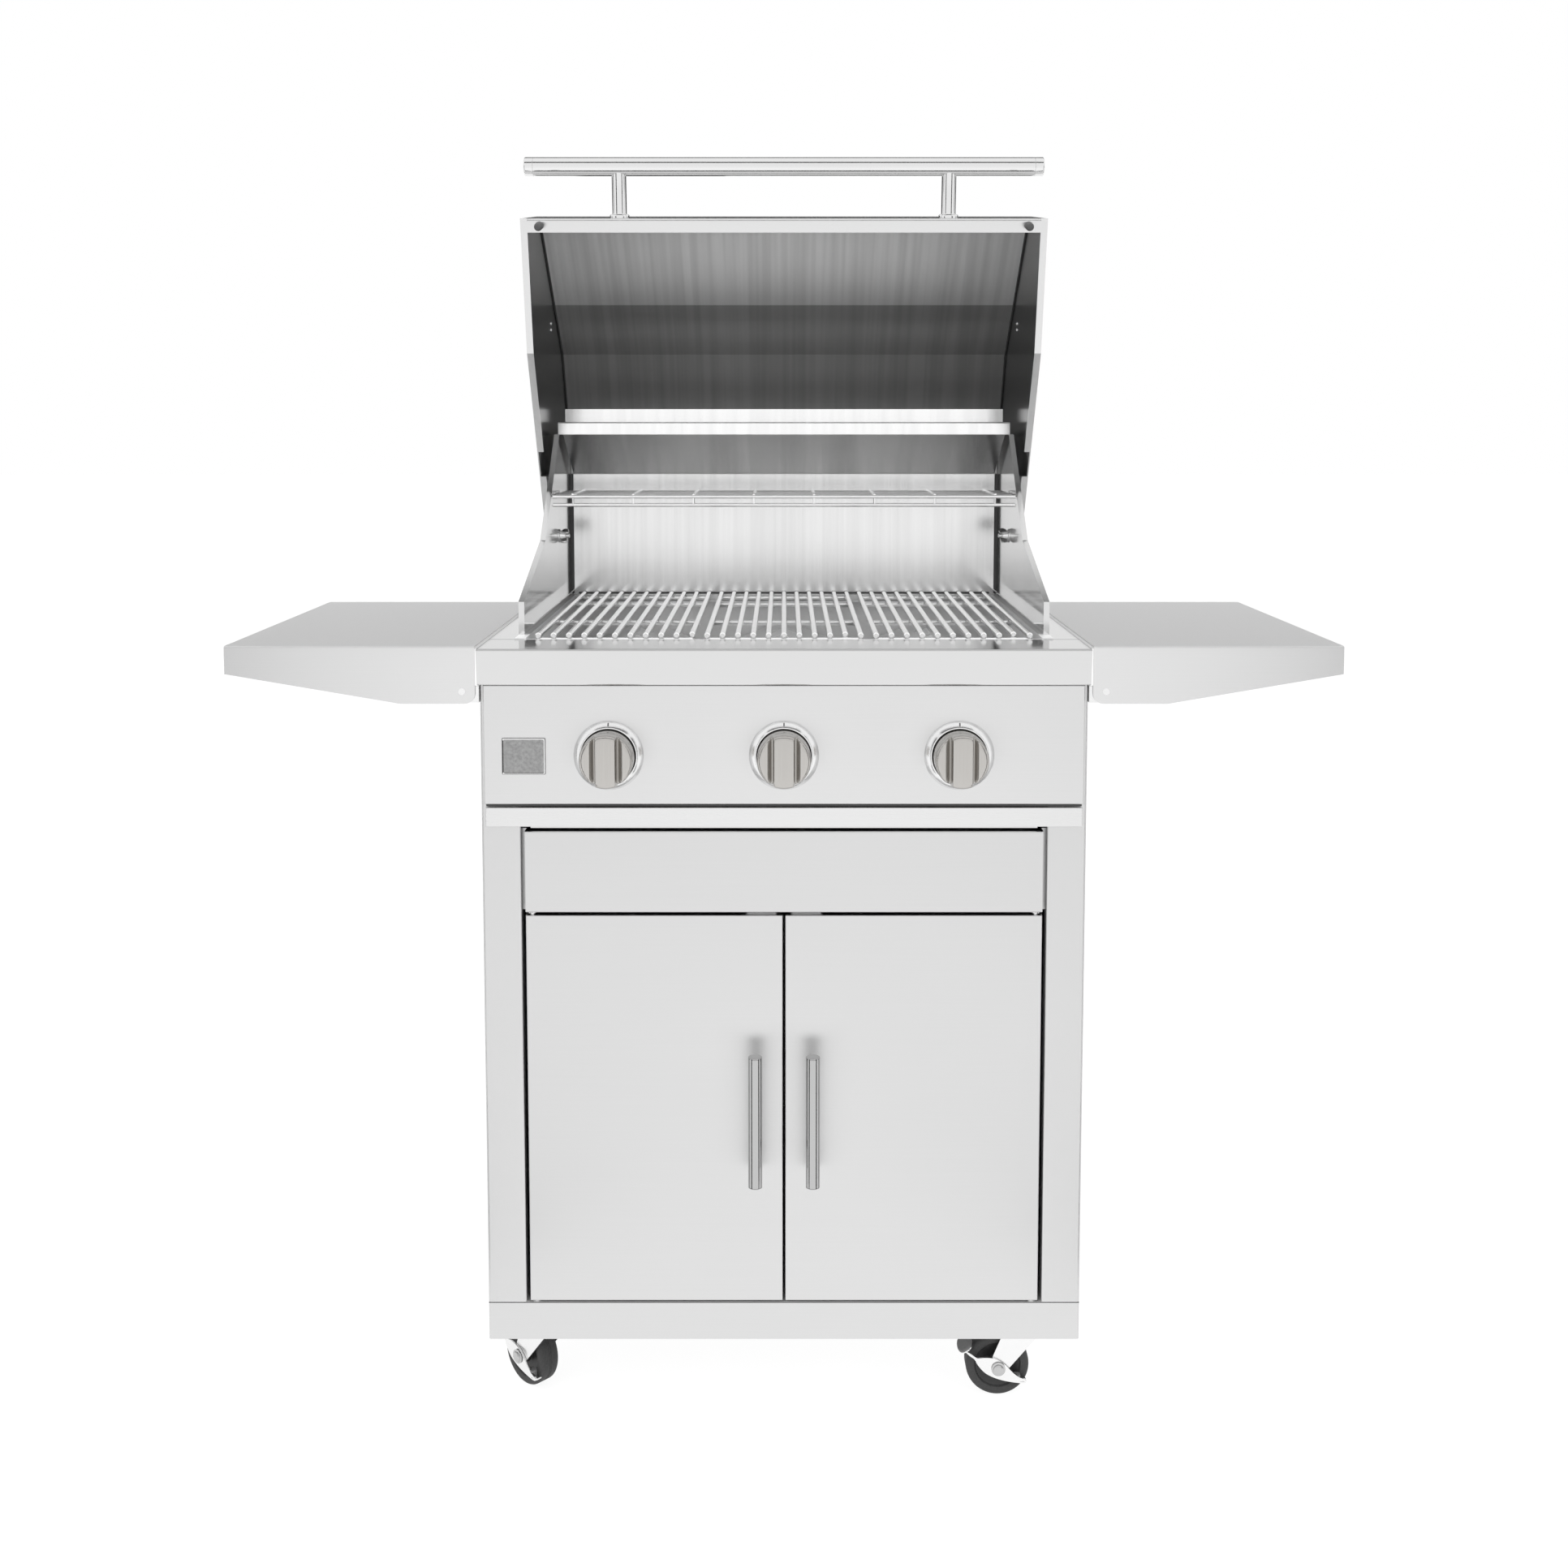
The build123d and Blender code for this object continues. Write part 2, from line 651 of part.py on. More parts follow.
# Warming rack across the wings
with BuildPart() as warming_rack:
    rack_end = wing_half - 4
    rack_pitch = 2 * (rack_end - RACK_SIDE_GAP) / (RACK_ROD_COUNT - 1)
    with BuildSketch(side(-rack_end)):
        for step in range(5):
            with Locations((rack_front + step * RACK_DEPTH / 4, rack_height)):
                RegularPolygon(RACK_ROD, 8, rotation=22.5)
        with Locations((rack_front, rack_height - 11)):
            RegularPolygon(RACK_ROD, 8, rotation=22.5)
    extrude(amount=2 * rack_end)
    with BuildSketch(front(rack_front + RACK_DEPTH + 1)):
        with Locations((0, rack_height + RACK_ROD)):
            with GridLocations(rack_pitch, 1, RACK_ROD_COUNT, 1):
                RegularPolygon(RACK_ROD - 0.3, 8, rotation=22.5)
    extrude(amount=RACK_DEPTH + 2)
    with BuildSketch(plan(rack_height + 0.7)):
        with Locations((0, rack_front)):
            with GridLocations(rack_pitch, 1, RACK_ROD_COUNT, 1):
                RegularPolygon(RACK_ROD - 0.8, 8)
    extrude(amount=-12)
save(warming_rack.part, "warming_rack")

# Flame tamers: three slotted roofs over the burners
with BuildPart() as flame_tamers:
    for x in (-knob_spacing, 0, knob_spacing):
        with BuildSketch(front(box_rear - GRATE_END_GAP)):
            folded(
                [
                    (x - tamer_width / 2, tamer_foot),
                    (x, tamer_foot + TAMER_RISE),
                    (x + tamer_width / 2, tamer_foot),
                ],
                SHEET,
                BEND,
                Side.RIGHT,
            )
        extrude(amount=box_length - 2 * GRATE_END_GAP)
    with BuildSketch(plan(tamer_foot)):
        with Locations((0, box_middle)):
            with GridLocations(knob_spacing / 2, 70, 5, 5):
                SlotOverall(34, 8)
    extrude(amount=TAMER_RISE, mode=Mode.SUBTRACT)
    with BuildSketch(plan(tamer_foot - 2)):
        with Locations((0, box_middle)):
            with GridLocations(knob_spacing, 1, 3, 1):
                Rectangle(tamer_width + 4, box_length)
    extrude(amount=2, mode=Mode.SUBTRACT)
save(flame_tamers.part, "flame_tamers")

# Tube burners with a venturi mouth through the firebox's front wall and a row of ports down each side
with BuildPart() as burners:
    burner_tail = box_rear - 24
    nose = box_front - BURNER_NOSE
    for x in (-knob_spacing, 0, knob_spacing):
        with BuildSketch(side(x)) as burner_half:
            with BuildLine():
                Polyline(
                    (nose, burner_height),
                    (nose, burner_height + BURNER_MOUTH),
                    (box_front + 8, burner_height + BURNER_MOUTH),
                    (box_front + 26, burner_height + 10),
                    (box_front + 62, burner_height + BURNER_RADIUS),
                    (burner_tail - 6, burner_height + BURNER_RADIUS),
                    (burner_tail, burner_height + BURNER_RADIUS - 6),
                    (burner_tail, burner_height + 6),
                    (box_rear, burner_height + 6),
                    (box_rear, burner_height),
                    close=True,
                )
            make_face()
        revolve(axis=Axis((x, 0, burner_height), (0, 1, 0)))
        with BuildSketch(front(nose)):
            with Locations((x, burner_height)):
                Circle(BURNER_MOUTH - 2)
        extrude(amount=-8, mode=Mode.SUBTRACT)
        for hand in (-1, 1):
            with BuildSketch(side(x + hand * BURNER_RADIUS)):
                with Locations((box_middle + 30, burner_height)):
                    with GridLocations(44, 1, 8, 1):
                        RegularPolygon(2.2, 6)
            extrude(amount=-4 * hand, mode=Mode.SUBTRACT)
save(burners.part, "burners")

# Gas manifold on two brackets behind the panel, turned down beside the firebox to its flare inlet
inlet_x = (box_half + SHEET + cart_half - SHEET) / 2
manifold_spot = Plane(origin=(0, TRIM_Y + MANIFOLD_DEPTH, 0), x_dir=(1, 0, 0), z_dir=(0, -1, 0))
with BuildPart() as gas_manifold:
    with BuildLine(manifold_spot) as run:
        FilletPolyline(
            (-knob_spacing - 60, manifold_height),
            (inlet_x, manifold_height),
            (inlet_x, inlet_height + 24),
            radius=20,
        )
    with BuildSketch(Plane(origin=run.line @ 0, z_dir=run.line % 0)):
        Circle(MANIFOLD_RADIUS)
    sweep()
    with BuildSketch(front(box_front - SHEET)):
        with Locations((0, manifold_height)):
            with GridLocations(knob_spacing, 1, 2, 1):
                Rectangle(24, 34)
    extrude(amount=3)
    with BuildSketch(front(box_front - SHEET)):
        with Locations((0, manifold_height)):
            with GridLocations(knob_spacing, 1, 2, 1):
                Rectangle(16, 10)
    extrude(amount=box_front - SHEET - MANIFOLD_DEPTH)
    with BuildSketch(plan(inlet_height + 24)):
        with Locations((inlet_x, MANIFOLD_DEPTH)):
            RegularPolygon(MANIFOLD_RADIUS + 2, 6)
    extrude(amount=-9)
    with BuildSketch(plan(inlet_height + 15)):
        with Locations((inlet_x, MANIFOLD_DEPTH)):
            Circle(INLET_RADIUS)
    extrude(amount=-15)
save(gas_manifold.part, "gas_manifold")

# Valves saddled on the manifold, each with a bore for its stem and a spout into the burner mouth
with BuildPart() as gas_valves:
    with BuildSketch(front(MANIFOLD_DEPTH + 3)):
        with Locations((0, knob_height + 8)):
            with GridLocations(knob_spacing, 1, 3, 1):
                RectangleRounded(26, 50, 4)
    extrude(amount=28)
    with BuildSketch(front(MANIFOLD_DEPTH - 25)):
        with Locations((0, knob_height)):
            with GridLocations(knob_spacing, 1, 3, 1):
                Circle(STEM_RADIUS + 5)
    extrude(amount=8)
    with BuildSketch(front(MANIFOLD_DEPTH + 3)):
        with Locations((0, burner_height)):
            with GridLocations(knob_spacing, 1, 3, 1):
                Circle(6)
    extrude(amount=-22)
    with BuildSketch(front(MANIFOLD_DEPTH - 4)):
        with Locations((0, knob_height)):
            with GridLocations(knob_spacing, 1, 3, 1):
                Circle(STEM_RADIUS + RUNNING)
    extrude(amount=40, mode=Mode.SUBTRACT)
    with BuildSketch(side(-knob_spacing - 60)):
        with Locations((MANIFOLD_DEPTH, manifold_height)):
            Circle(MANIFOLD_RADIUS)
    extrude(amount=2 * knob_spacing + 120, mode=Mode.SUBTRACT)
save(gas_valves.part, "gas_valves")

# Knob bezels, knobs and the stems that they press on
with BuildPart() as knob_bezels:
    with BuildSketch(front(PANEL_FACE)):
        with Locations((0, knob_height)):
            with GridLocations(knob_spacing, 1, 3, 1):
                Circle(BEZEL_RADIUS)
                Circle(KNOB_RADIUS + 3, mode=Mode.SUBTRACT)
    extrude(amount=BEZEL_HEIGHT)
    outer_rims = knob_bezels.faces().sort_by(Axis.Y)[:3].edges().filter_by(
        lambda edge: edge.radius > KNOB_RADIUS + 4
    )
    chamfer(outer_rims, 4, 3)
save(knob_bezels.part, "knob_bezels")

stem_tail = MANIFOLD_DEPTH - 6
stem_nose = knob_front + 14
for name, x in (("left", -knob_spacing), ("center", 0), ("right", knob_spacing)):
    with BuildPart() as valve_stem:
        with BuildSketch(front(stem_tail)):
            with Locations((x, knob_height)):
                Circle(STEM_RADIUS)
        extrude(amount=stem_tail - stem_nose)
        chamfer(valve_stem.edges().sort_by(Axis.Y)[0], 0.8)
    save(valve_stem.part, f"valve_stem_{name}")

    with BuildPart() as knob:
        with BuildSketch(front(knob_back)):
            with Locations((x, knob_height)):
                Circle(KNOB_RADIUS)
        extrude(amount=knob_back - knob_front)
        fillet(knob.faces().sort_by(Axis.Y)[0].edges(), 3)
        for hand in (-1, 1):
            with BuildSketch(plan(knob_height - KNOB_RADIUS)):
                with BuildLine():
                    Polyline(
                        (x + hand * 11, knob_front - 1),
                        (x + hand * 14, knob_front + 17),
                        (x + hand * (KNOB_RADIUS + 1), knob_front + 12),
                        (x + hand * (KNOB_RADIUS + 1), knob_front - 1),
                        close=True,
                    )
                make_face()
            extrude(amount=2 * KNOB_RADIUS, mode=Mode.SUBTRACT)
        with BuildSketch(front(knob_back)):
            with Locations((x, knob_height)):
                Circle(STEM_RADIUS + RUNNING)
        extrude(amount=knob_back - stem_nose + KNOB_PUSH + 1, mode=Mode.SUBTRACT)
    save(knob.part, f"knob_{name}")

# Drip tray with its front strip, on two runners hung under the firebox
with BuildPart() as drip_tray:
    tray_spot = (0, tray_front + tray_length / 2)
    with BuildSketch(plan(tray_bottom)):
        with Locations(tray_spot):
            Rectangle(2 * tray_half, tray_length)
    extrude(amount=TRAY_HEIGHT)
    with BuildSketch(plan(tray_bottom + SHEET)):
        with Locations(tray_spot):
            Rectangle(2 * (tray_half - SHEET), tray_length - 2 * SHEET)
    extrude(amount=TRAY_HEIGHT, mode=Mode.SUBTRACT)
    with BuildSketch(front(tray_front)):
        with Locations((0, (tray_strip_bottom + tray_strip_top) / 2)):
            Rectangle(tray_strip_width, tray_strip_top - tray_strip_bottom)
    extrude(amount=3)
    fillet(drip_tray.faces().sort_by(Axis.Y)[0].edges(), 0.8)
save(drip_tray.part, "drip_tray")

with BuildPart() as tray_runners:
    runner_x = tray_half + MOVING_GAP
    runner_foot = tray_bottom - 0.4
    for hand, turn in ((-1, Side.RIGHT), (1, Side.LEFT)):
        with BuildSketch(front(box_rear)):
            folded(
                [
                    (hand * (runner_x + 12), box_bottom),
                    (hand * runner_x, box_bottom),
                    (hand * runner_x, runner_foot),
                    (hand * (runner_x - 16), runner_foot),
                ],
                SHEET,
                SHEET + 0.2,
                turn,
            )
        extrude(amount=box_length)
save(tray_runners.part, "tray_runners")

# Lid planes: the closed lid's depth and height axes, swung open about the hinge
lid = Plane(
    origin=(0, TRIM_Y + hinge_depth, hinge_height),
    x_dir=(0, cos(swing), sin(swing)),
    z_dir=(1, 0, 0),
)
lid_wrap = [(lip[0] + LID_LIP, lip[1]), lip, brow, ROOF_FRONT, ROOF_REAR, BACK_TOP, BACK_BOTTOM]
wrap_half = lid_half - LID_BORDER

with BuildPart() as lid_shell:
    with BuildSketch(lid.offset(-wrap_half)):
        folded(lid_wrap, SHEET, 4, Side.RIGHT)
    extrude(amount=2 * wrap_half)
save(lid_shell.part, "lid_shell")

for name, hand in (("left", -1), ("right", 1)):
    with BuildPart() as lid_end:
        with BuildSketch(lid.offset(hand * wrap_half)):
            folded(lid_wrap, SHEET, 4, Side.RIGHT)
        extrude(amount=hand * LID_BORDER)
        with BuildSketch(lid.offset(hand * (lid_half - SHEET))):
            with BuildLine() as end_outline:
                FilletPolyline(lip, brow, ROOF_FRONT, ROOF_REAR, BACK_TOP, BACK_BOTTOM, radius=4)
                Polyline(BACK_BOTTOM, EDGE_REAR, edge_bend, lip)
            make_face(end_outline.edges())
            Circle(HINGE_RADIUS + RUNNING, mode=Mode.SUBTRACT)
        extrude(amount=hand * SHEET)
        with BuildSketch(lid.offset(hand * (lid_half - LID_EDGE))):
            with BuildLine() as edge_line:
                Polyline(EDGE_REAR, edge_bend, lip)
                offset(amount=SHEET, side=Side.RIGHT)
            make_face(edge_line.edges())
            with Locations((-53, -94)):
                Rectangle(40, 30, rotation=18, mode=Mode.SUBTRACT)
        extrude(amount=hand * (LID_EDGE - SHEET))
    save(lid_end.part, f"lid_end_{name}")

# Hinge pins welded to the wings, with a head outside the lid
with BuildPart() as lid_hinge_pins:
    for hand in (-1, 1):
        with BuildSketch(side(hand * wing_outer)):
            with Locations((hinge_depth, hinge_height)):
                Circle(HINGE_RADIUS + 4)
        extrude(amount=hand * (lid_half - SHEET - MOVING_GAP - wing_outer))
        with BuildSketch(side(hand * wing_outer)):
            with Locations((hinge_depth, hinge_height)):
                Circle(HINGE_RADIUS)
        extrude(amount=hand * (lid_half + 4 - wing_outer))
        with BuildSketch(side(hand * (lid_half + MOVING_GAP))):
            with Locations((hinge_depth, hinge_height)):
                Circle(HINGE_RADIUS + 4)
        extrude(amount=hand * 4)
save(lid_hinge_pins.part, "lid_hinge_pins")

# Lid handle: a round bar on two posts square to the lid's front face
face_length = hypot(brow[0] - lip[0], brow[1] - lip[1])
face_up = ((brow[0] - lip[0]) / face_length, (brow[1] - lip[1]) / face_length)
face_out = (-face_up[1], face_up[0])
post_foot = (lip[0] + LID_POST_RISE * face_up[0], lip[1] + LID_POST_RISE * face_up[1])
bar_spot = (
    post_foot[0] + LID_HANDLE_REACH * face_out[0],
    post_foot[1] + LID_HANDLE_REACH * face_out[1],
)
with BuildPart() as lid_handle_bar:
    with BuildSketch(lid.offset(-lid_handle_length / 2)):
        with Locations(bar_spot):
            Circle(LID_HANDLE_RADIUS)
    extrude(amount=lid_handle_length)
    fillet(lid_handle_bar.edges().filter_by(GeomType.CIRCLE), 2)
save(lid_handle_bar.part, "lid_handle_bar")

with BuildPart() as lid_handle_posts:
    for x in (-lid_post_x, lid_post_x):
        foot = Plane(
            origin=lid.from_local_coords((post_foot[0], post_foot[1], x)),
            x_dir=(1, 0, 0),
            z_dir=lid.x_dir * face_out[0] + lid.y_dir * face_out[1],
        )
        with BuildSketch(foot):
            Circle(LID_POST_RADIUS + 3)
        extrude(amount=4)
        with BuildSketch(foot):
            Circle(LID_POST_RADIUS)
        extrude(amount=LID_HANDLE_REACH)
    with BuildSketch(lid.offset(-lid_handle_length / 2)):
        with Locations(bar_spot):
            Circle(LID_HANDLE_RADIUS)
    extrude(amount=lid_handle_length, mode=Mode.SUBTRACT)
save(lid_handle_posts.part, "lid_handle_posts")

# Rubber stops under the lid's lip that land on the firebox flange
bumper_length = lip[1] + hinge_height - flange_top - 0.5
with BuildPart() as lid_bumpers:
    for x in (-bumper_x, bumper_x):
        stop = Plane(
            origin=lid.from_local_coords((lip[0] + LID_LIP / 2, lip[1], x)),
            x_dir=(1, 0, 0),
            z_dir=-lid.y_dir,
        )
        with BuildSketch(stop):
            Circle(BUMPER_RADIUS)
        extrude(amount=bumper_length)
save(lid_bumpers.part, "lid_bumpers")

# Wing nuts that hold a rotisserie bracket on the wings
nut_spot = (rear_wall - NUT_PLACE[0], flange_top + NUT_PLACE[1])
with BuildPart() as rotisserie_nuts:
    for hand in (-1, 1):
        with BuildSketch(side(hand * wing_half)):
            with Locations(nut_spot):
                Circle(7)
        extrude(amount=-hand * 9)
        with BuildSketch(side(hand * (wing_half - 3))):
            with Locations(nut_spot):
                SlotOverall(30, 8, rotation=35)
        extrude(amount=-hand * 3)
        with BuildSketch(side(hand * (wing_half - 9))):
            with Locations(nut_spot):
                Circle(3)
        extrude(amount=-hand * 5)
save(rotisserie_nuts.part, "rotisserie_nuts")

# Side shelves: tapered pans that fold down on pins in the inner lower corners
shelf_outer = shelf_inner + SHELF_WIDTH
apron_foot = shelf_top - APRON_INNER
shelf_rear = SHELF_FRONT + SHELF_DEPTH
pin_x = shelf_inner + SHELF_PIVOT_IN
pin_height = apron_foot + SHELF_PIVOT_UP
for name, hand in (("left", -1), ("right", 1)):
    with BuildPart() as shelf:
        with BuildSketch(front(shelf_rear)):
            with BuildLine() as apron:
                Polyline(
                    (hand * shelf_inner, shelf_top),
                    (hand * shelf_inner, apron_foot),
                    (hand * (shelf_inner + APRON_FLAT), apron_foot),
                    (hand * shelf_outer, shelf_top - APRON_OUTER),
                    (hand * shelf_outer, shelf_top),
                    close=True,
                )
            make_face(apron.edges())
        extrude(amount=SHELF_DEPTH)
        inner_foot = shelf.edges().filter_by(Axis.Y).group_by(Axis.Z)[0]
        fillet(inner_foot.sort_by(Axis.X)[-1 if hand < 0 else 0], SHELF_PIVOT_UP - 2)
        fillet(shelf.faces().sort_by(Axis.Z)[-1].edges().filter_by(Axis.X), BEND)
        with BuildSketch(front(shelf_rear - SHEET)):
            with BuildLine() as hollow:
                Polyline(
                    (hand * (shelf_inner - 1), shelf_top - SHEET),
                    (hand * (shelf_inner - 1), apron_foot - 1),
                    (hand * (shelf_outer - SHEET), apron_foot - 1),
                    (hand * (shelf_outer - SHEET), shelf_top - SHEET),
                    close=True,
                )
            make_face(hollow.edges())
        extrude(amount=SHELF_DEPTH - 2 * SHEET, mode=Mode.SUBTRACT)
        with BuildSketch(front(shelf_rear)):
            with Locations((hand * pin_x, pin_height)):
                Circle(SHELF_PIN_RADIUS + RUNNING)
        extrude(amount=SHELF_DEPTH, mode=Mode.SUBTRACT)
    save(shelf.part, f"shelf_{name}")

with BuildPart() as shelf_brackets:
    ear_gap = SHEET + MOVING_GAP
    plate_middle = (apron_foot + trim_bottom) / 2
    plate_height = trim_bottom - apron_foot - 2 * MOVING_GAP
    for hand in (-1, 1):
        with BuildSketch(side(hand * cart_half)):
            with Locations(((SHELF_FRONT + shelf_rear) / 2, plate_middle)):
                Rectangle(SHELF_DEPTH - 2 * ear_gap, plate_height)
        extrude(amount=hand * 2)
        for inner, outer in ((SHELF_FRONT + ear_gap, SHELF_FRONT), (shelf_rear - ear_gap, shelf_rear)):
            out = 1 if outer < inner else -1
            with BuildSketch(front(inner)):
                with Locations((hand * (cart_half + pin_x) / 2, plate_middle)):
                    Rectangle(pin_x - cart_half, plate_height)
                with Locations((hand * pin_x, pin_height)):
                    Circle(11)
            extrude(amount=-out * 3)
            with BuildSketch(front(inner)):
                with Locations((hand * pin_x, pin_height)):
                    Circle(SHELF_PIN_RADIUS)
            extrude(amount=out * ear_gap)
save(shelf_brackets.part, "shelf_brackets")

# Castor plates bolted under the plinth, each with the kingpin that the fork turns on
plate_bottom = PLINTH_BOTTOM - CASTOR_PLATE
crown_top = plate_bottom - 0.5
crown_bottom = WHEEL_RADIUS * 2 + 4
castors = (
    ("front_left", -castor_x, CASTOR_FRONT, -45),
    ("front_right", castor_x, CASTOR_FRONT, 0),
    ("rear_left", -castor_x, castor_rear, 20),
    ("rear_right", castor_x, castor_rear, -15),
)
with BuildPart() as castor_plates:
    for _, x, depth, _ in castors:
        with BuildSketch(plan(PLINTH_BOTTOM)):
            with Locations((x, depth)):
                RectangleRounded(68, 68, 6)
        extrude(amount=-CASTOR_PLATE)
        with BuildSketch(plan(plate_bottom)):
            with Locations((x, depth)):
                Circle(KINGPIN_RADIUS)
        extrude(amount=crown_bottom + 1 - plate_bottom)
save(castor_plates.part, "castor_plates")

# Castors: a fork that trails its wheel, the wheel, and a foot brake on the front two
leg_inner = WHEEL_WIDTH / 2 + 2.5
leg_outer = leg_inner + FORK_SHEET
for name, x, depth, turned in castors:
    ahead = (cos(radians(turned)), sin(radians(turned)), 0)
    spot = Plane(origin=(x, TRIM_Y + depth, 0), x_dir=ahead, z_dir=(0, 0, 1))
    roll = Plane(origin=spot.origin, x_dir=ahead, z_dir=spot.y_dir * -1)
    axle = (-CASTOR_TRAIL, WHEEL_RADIUS)
    with BuildPart() as fork:
        with BuildSketch(spot.offset(crown_bottom)):
            Rectangle(46, 2 * leg_outer)
            Circle(23)
        extrude(amount=crown_top - crown_bottom)
        for inner in (-leg_outer, leg_inner):
            with BuildSketch(roll.offset(inner)):
                with BuildLine() as leg:
                    Polyline(
                        (23, crown_bottom + 4),
                        (-23, crown_bottom + 4),
                        (-41, WHEEL_RADIUS + 3),
                        (-23, WHEEL_RADIUS - 8),
                        close=True,
                    )
                make_face(leg.edges())
                with Locations(axle):
                    Circle(11)
            extrude(amount=FORK_SHEET)
        with BuildSketch(roll.offset(-leg_outer - 6)):
            with Locations(axle):
                Circle(AXLE_RADIUS)
        extrude(amount=2 * leg_outer + 12)
        with BuildSketch(spot.offset(crown_bottom)):
            Circle(KINGPIN_RADIUS + RUNNING)
        extrude(amount=crown_top - crown_bottom, mode=Mode.SUBTRACT)
    save(fork.part, f"castor_fork_{name}")

    with BuildPart() as wheel:
        with BuildSketch(roll.offset(-WHEEL_WIDTH / 2)):
            with Locations(axle):
                Circle(WHEEL_RADIUS)
        extrude(amount=WHEEL_WIDTH)
        fillet(wheel.edges().filter_by(GeomType.CIRCLE), 5)
        for outside, inward in ((WHEEL_WIDTH / 2, -5), (-WHEEL_WIDTH / 2, 5)):
            with BuildSketch(roll.offset(outside)):
                with Locations(axle):
                    Circle(WHEEL_RADIUS - 12)
            extrude(amount=inward, mode=Mode.SUBTRACT)
        with BuildSketch(roll.offset(-leg_inner + 0.5)):
            with Locations(axle):
                Circle(10)
        extrude(amount=2 * leg_inner - 1)
        with BuildSketch(roll.offset(-leg_inner)):
            with Locations(axle):
                Circle(AXLE_RADIUS + RUNNING)
        extrude(amount=2 * leg_inner, mode=Mode.SUBTRACT)
    save(wheel.part, f"castor_wheel_{name}")

    if name.startswith("front"):
        with BuildPart() as brake:
            with BuildSketch(roll.offset(leg_outer + 0.5)):
                with BuildLine() as rocker:
                    Polyline(
                        (-74, WHEEL_RADIUS + 22),
                        (-60, WHEEL_RADIUS + 26),
                        (-24, WHEEL_RADIUS + 9),
                        (4, WHEEL_RADIUS - 12),
                        (2, WHEEL_RADIUS - 20),
                        (-36, WHEEL_RADIUS - 10),
                        close=True,
                    )
                make_face(rocker.edges())
                with Locations(axle):
                    Circle(10)
                    Circle(AXLE_RADIUS + RUNNING, mode=Mode.SUBTRACT)
            extrude(amount=2.5)
            with BuildSketch(roll.offset(-WHEEL_WIDTH / 2)):
                with BuildLine() as pedal:
                    Polyline(
                        (-78, WHEEL_RADIUS + 18),
                        (-62, WHEEL_RADIUS + 28),
                        (-60, WHEEL_RADIUS + 25),
                        (-75, WHEEL_RADIUS + 15),
                        close=True,
                    )
                make_face(pedal.edges())
            extrude(amount=leg_outer + 3 + WHEEL_WIDTH / 2)
        save(brake.part, f"castor_brake_{name}")
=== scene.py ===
"""Looks of the gas barbecue grill: finishes on the CAD nodes and finer pieces around them, in metres.

+Z is up and the front faces -Y. Sizes below are in millimetres and become metres through MM. Depths are
counted back from the front trim's face, as in the part's source.
"""

from math import cos, hypot, pi, radians, sin

import bmesh
import bpy
import numpy as np
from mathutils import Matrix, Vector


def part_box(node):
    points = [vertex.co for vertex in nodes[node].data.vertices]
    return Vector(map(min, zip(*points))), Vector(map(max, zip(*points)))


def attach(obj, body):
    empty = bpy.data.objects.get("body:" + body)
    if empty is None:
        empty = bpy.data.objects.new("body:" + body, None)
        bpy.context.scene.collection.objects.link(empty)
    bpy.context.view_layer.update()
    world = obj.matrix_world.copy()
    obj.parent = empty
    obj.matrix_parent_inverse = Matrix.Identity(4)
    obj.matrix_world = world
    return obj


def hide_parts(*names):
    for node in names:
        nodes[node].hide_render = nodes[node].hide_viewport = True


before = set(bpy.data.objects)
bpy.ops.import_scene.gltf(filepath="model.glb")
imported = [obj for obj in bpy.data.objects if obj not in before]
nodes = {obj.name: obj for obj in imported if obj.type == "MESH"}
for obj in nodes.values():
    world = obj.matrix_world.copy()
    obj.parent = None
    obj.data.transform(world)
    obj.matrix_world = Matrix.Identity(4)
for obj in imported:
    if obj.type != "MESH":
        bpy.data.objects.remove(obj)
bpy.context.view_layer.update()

MM = 0.001
X_AXIS, Y_AXIS, Z_AXIS = np.eye(3)
TRIM_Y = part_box("front_trim")[0].y

# Camera and studio; the studio's places are in metres
CAMERA_AHEAD = 1880
CAMERA_HEIGHT = 1180
CAMERA_PITCH = 4.62
CAMERA_LENS = 38.48
CAMERA_SHIFT = -0.15
SENSOR_WIDTH = 36
WORLD_LIGHT = 0.75
FLOOR_REACH = 30
FLOOR_GREY = 0.86
FLOOR_GLOW = 1.14
FLOOR_GLOW_SHARE = 0.8
FLAG_GREY = 0.03
FLOOR_CARD = ((0.46, -0.69), (0.57, -0.53), (1.2, -0.8), (0.99, -1.14))

# Lid, drawn closed as (depth, height) from its hinge
HINGE = (482, 1084)
LID_OPEN = 76
LID_HALF = 330
SHEET = 1.5
LIP = (-387, -152)
BROW = (-370, -2)
ROOF_FRONT = (-147, 171)
ROOF_REAR = (-12, 206)
BACK_TOP = (78, 178)
BACK_BOTTOM = (83, 96)
EDGE_BEND = (-215, -149)
EDGE_REAR = (43, -65)
LID_POST_X = 212
LID_POST_RISE = 70
LID_BAR_REACH = 64
LID_BAR_RADIUS = 12
LID_BAR_HALF = 332.5
LID_POST_PROFILE = [(0, 12.5), (2.6, 12.5), (3.6, 12), (4, 11), (4.2, 9.5), (5, 9.3), (57, 9.3), (58, 8)]
STOP_X = 306
STOP_PROFILE = [(0, 5.2), (12, 5.2), (14, 4.9), (15.4, 4), (16, 2.6)]
LIP_FLANGE = 17.5
LINER_GAP = 0.3
LINER_SHEET = 0.5
END_LINER_SHARE = 0.975
RIVET_SPOTS = [(-212, 66), (-203.5, 64)]
RIVET_RADIUS = 2.4

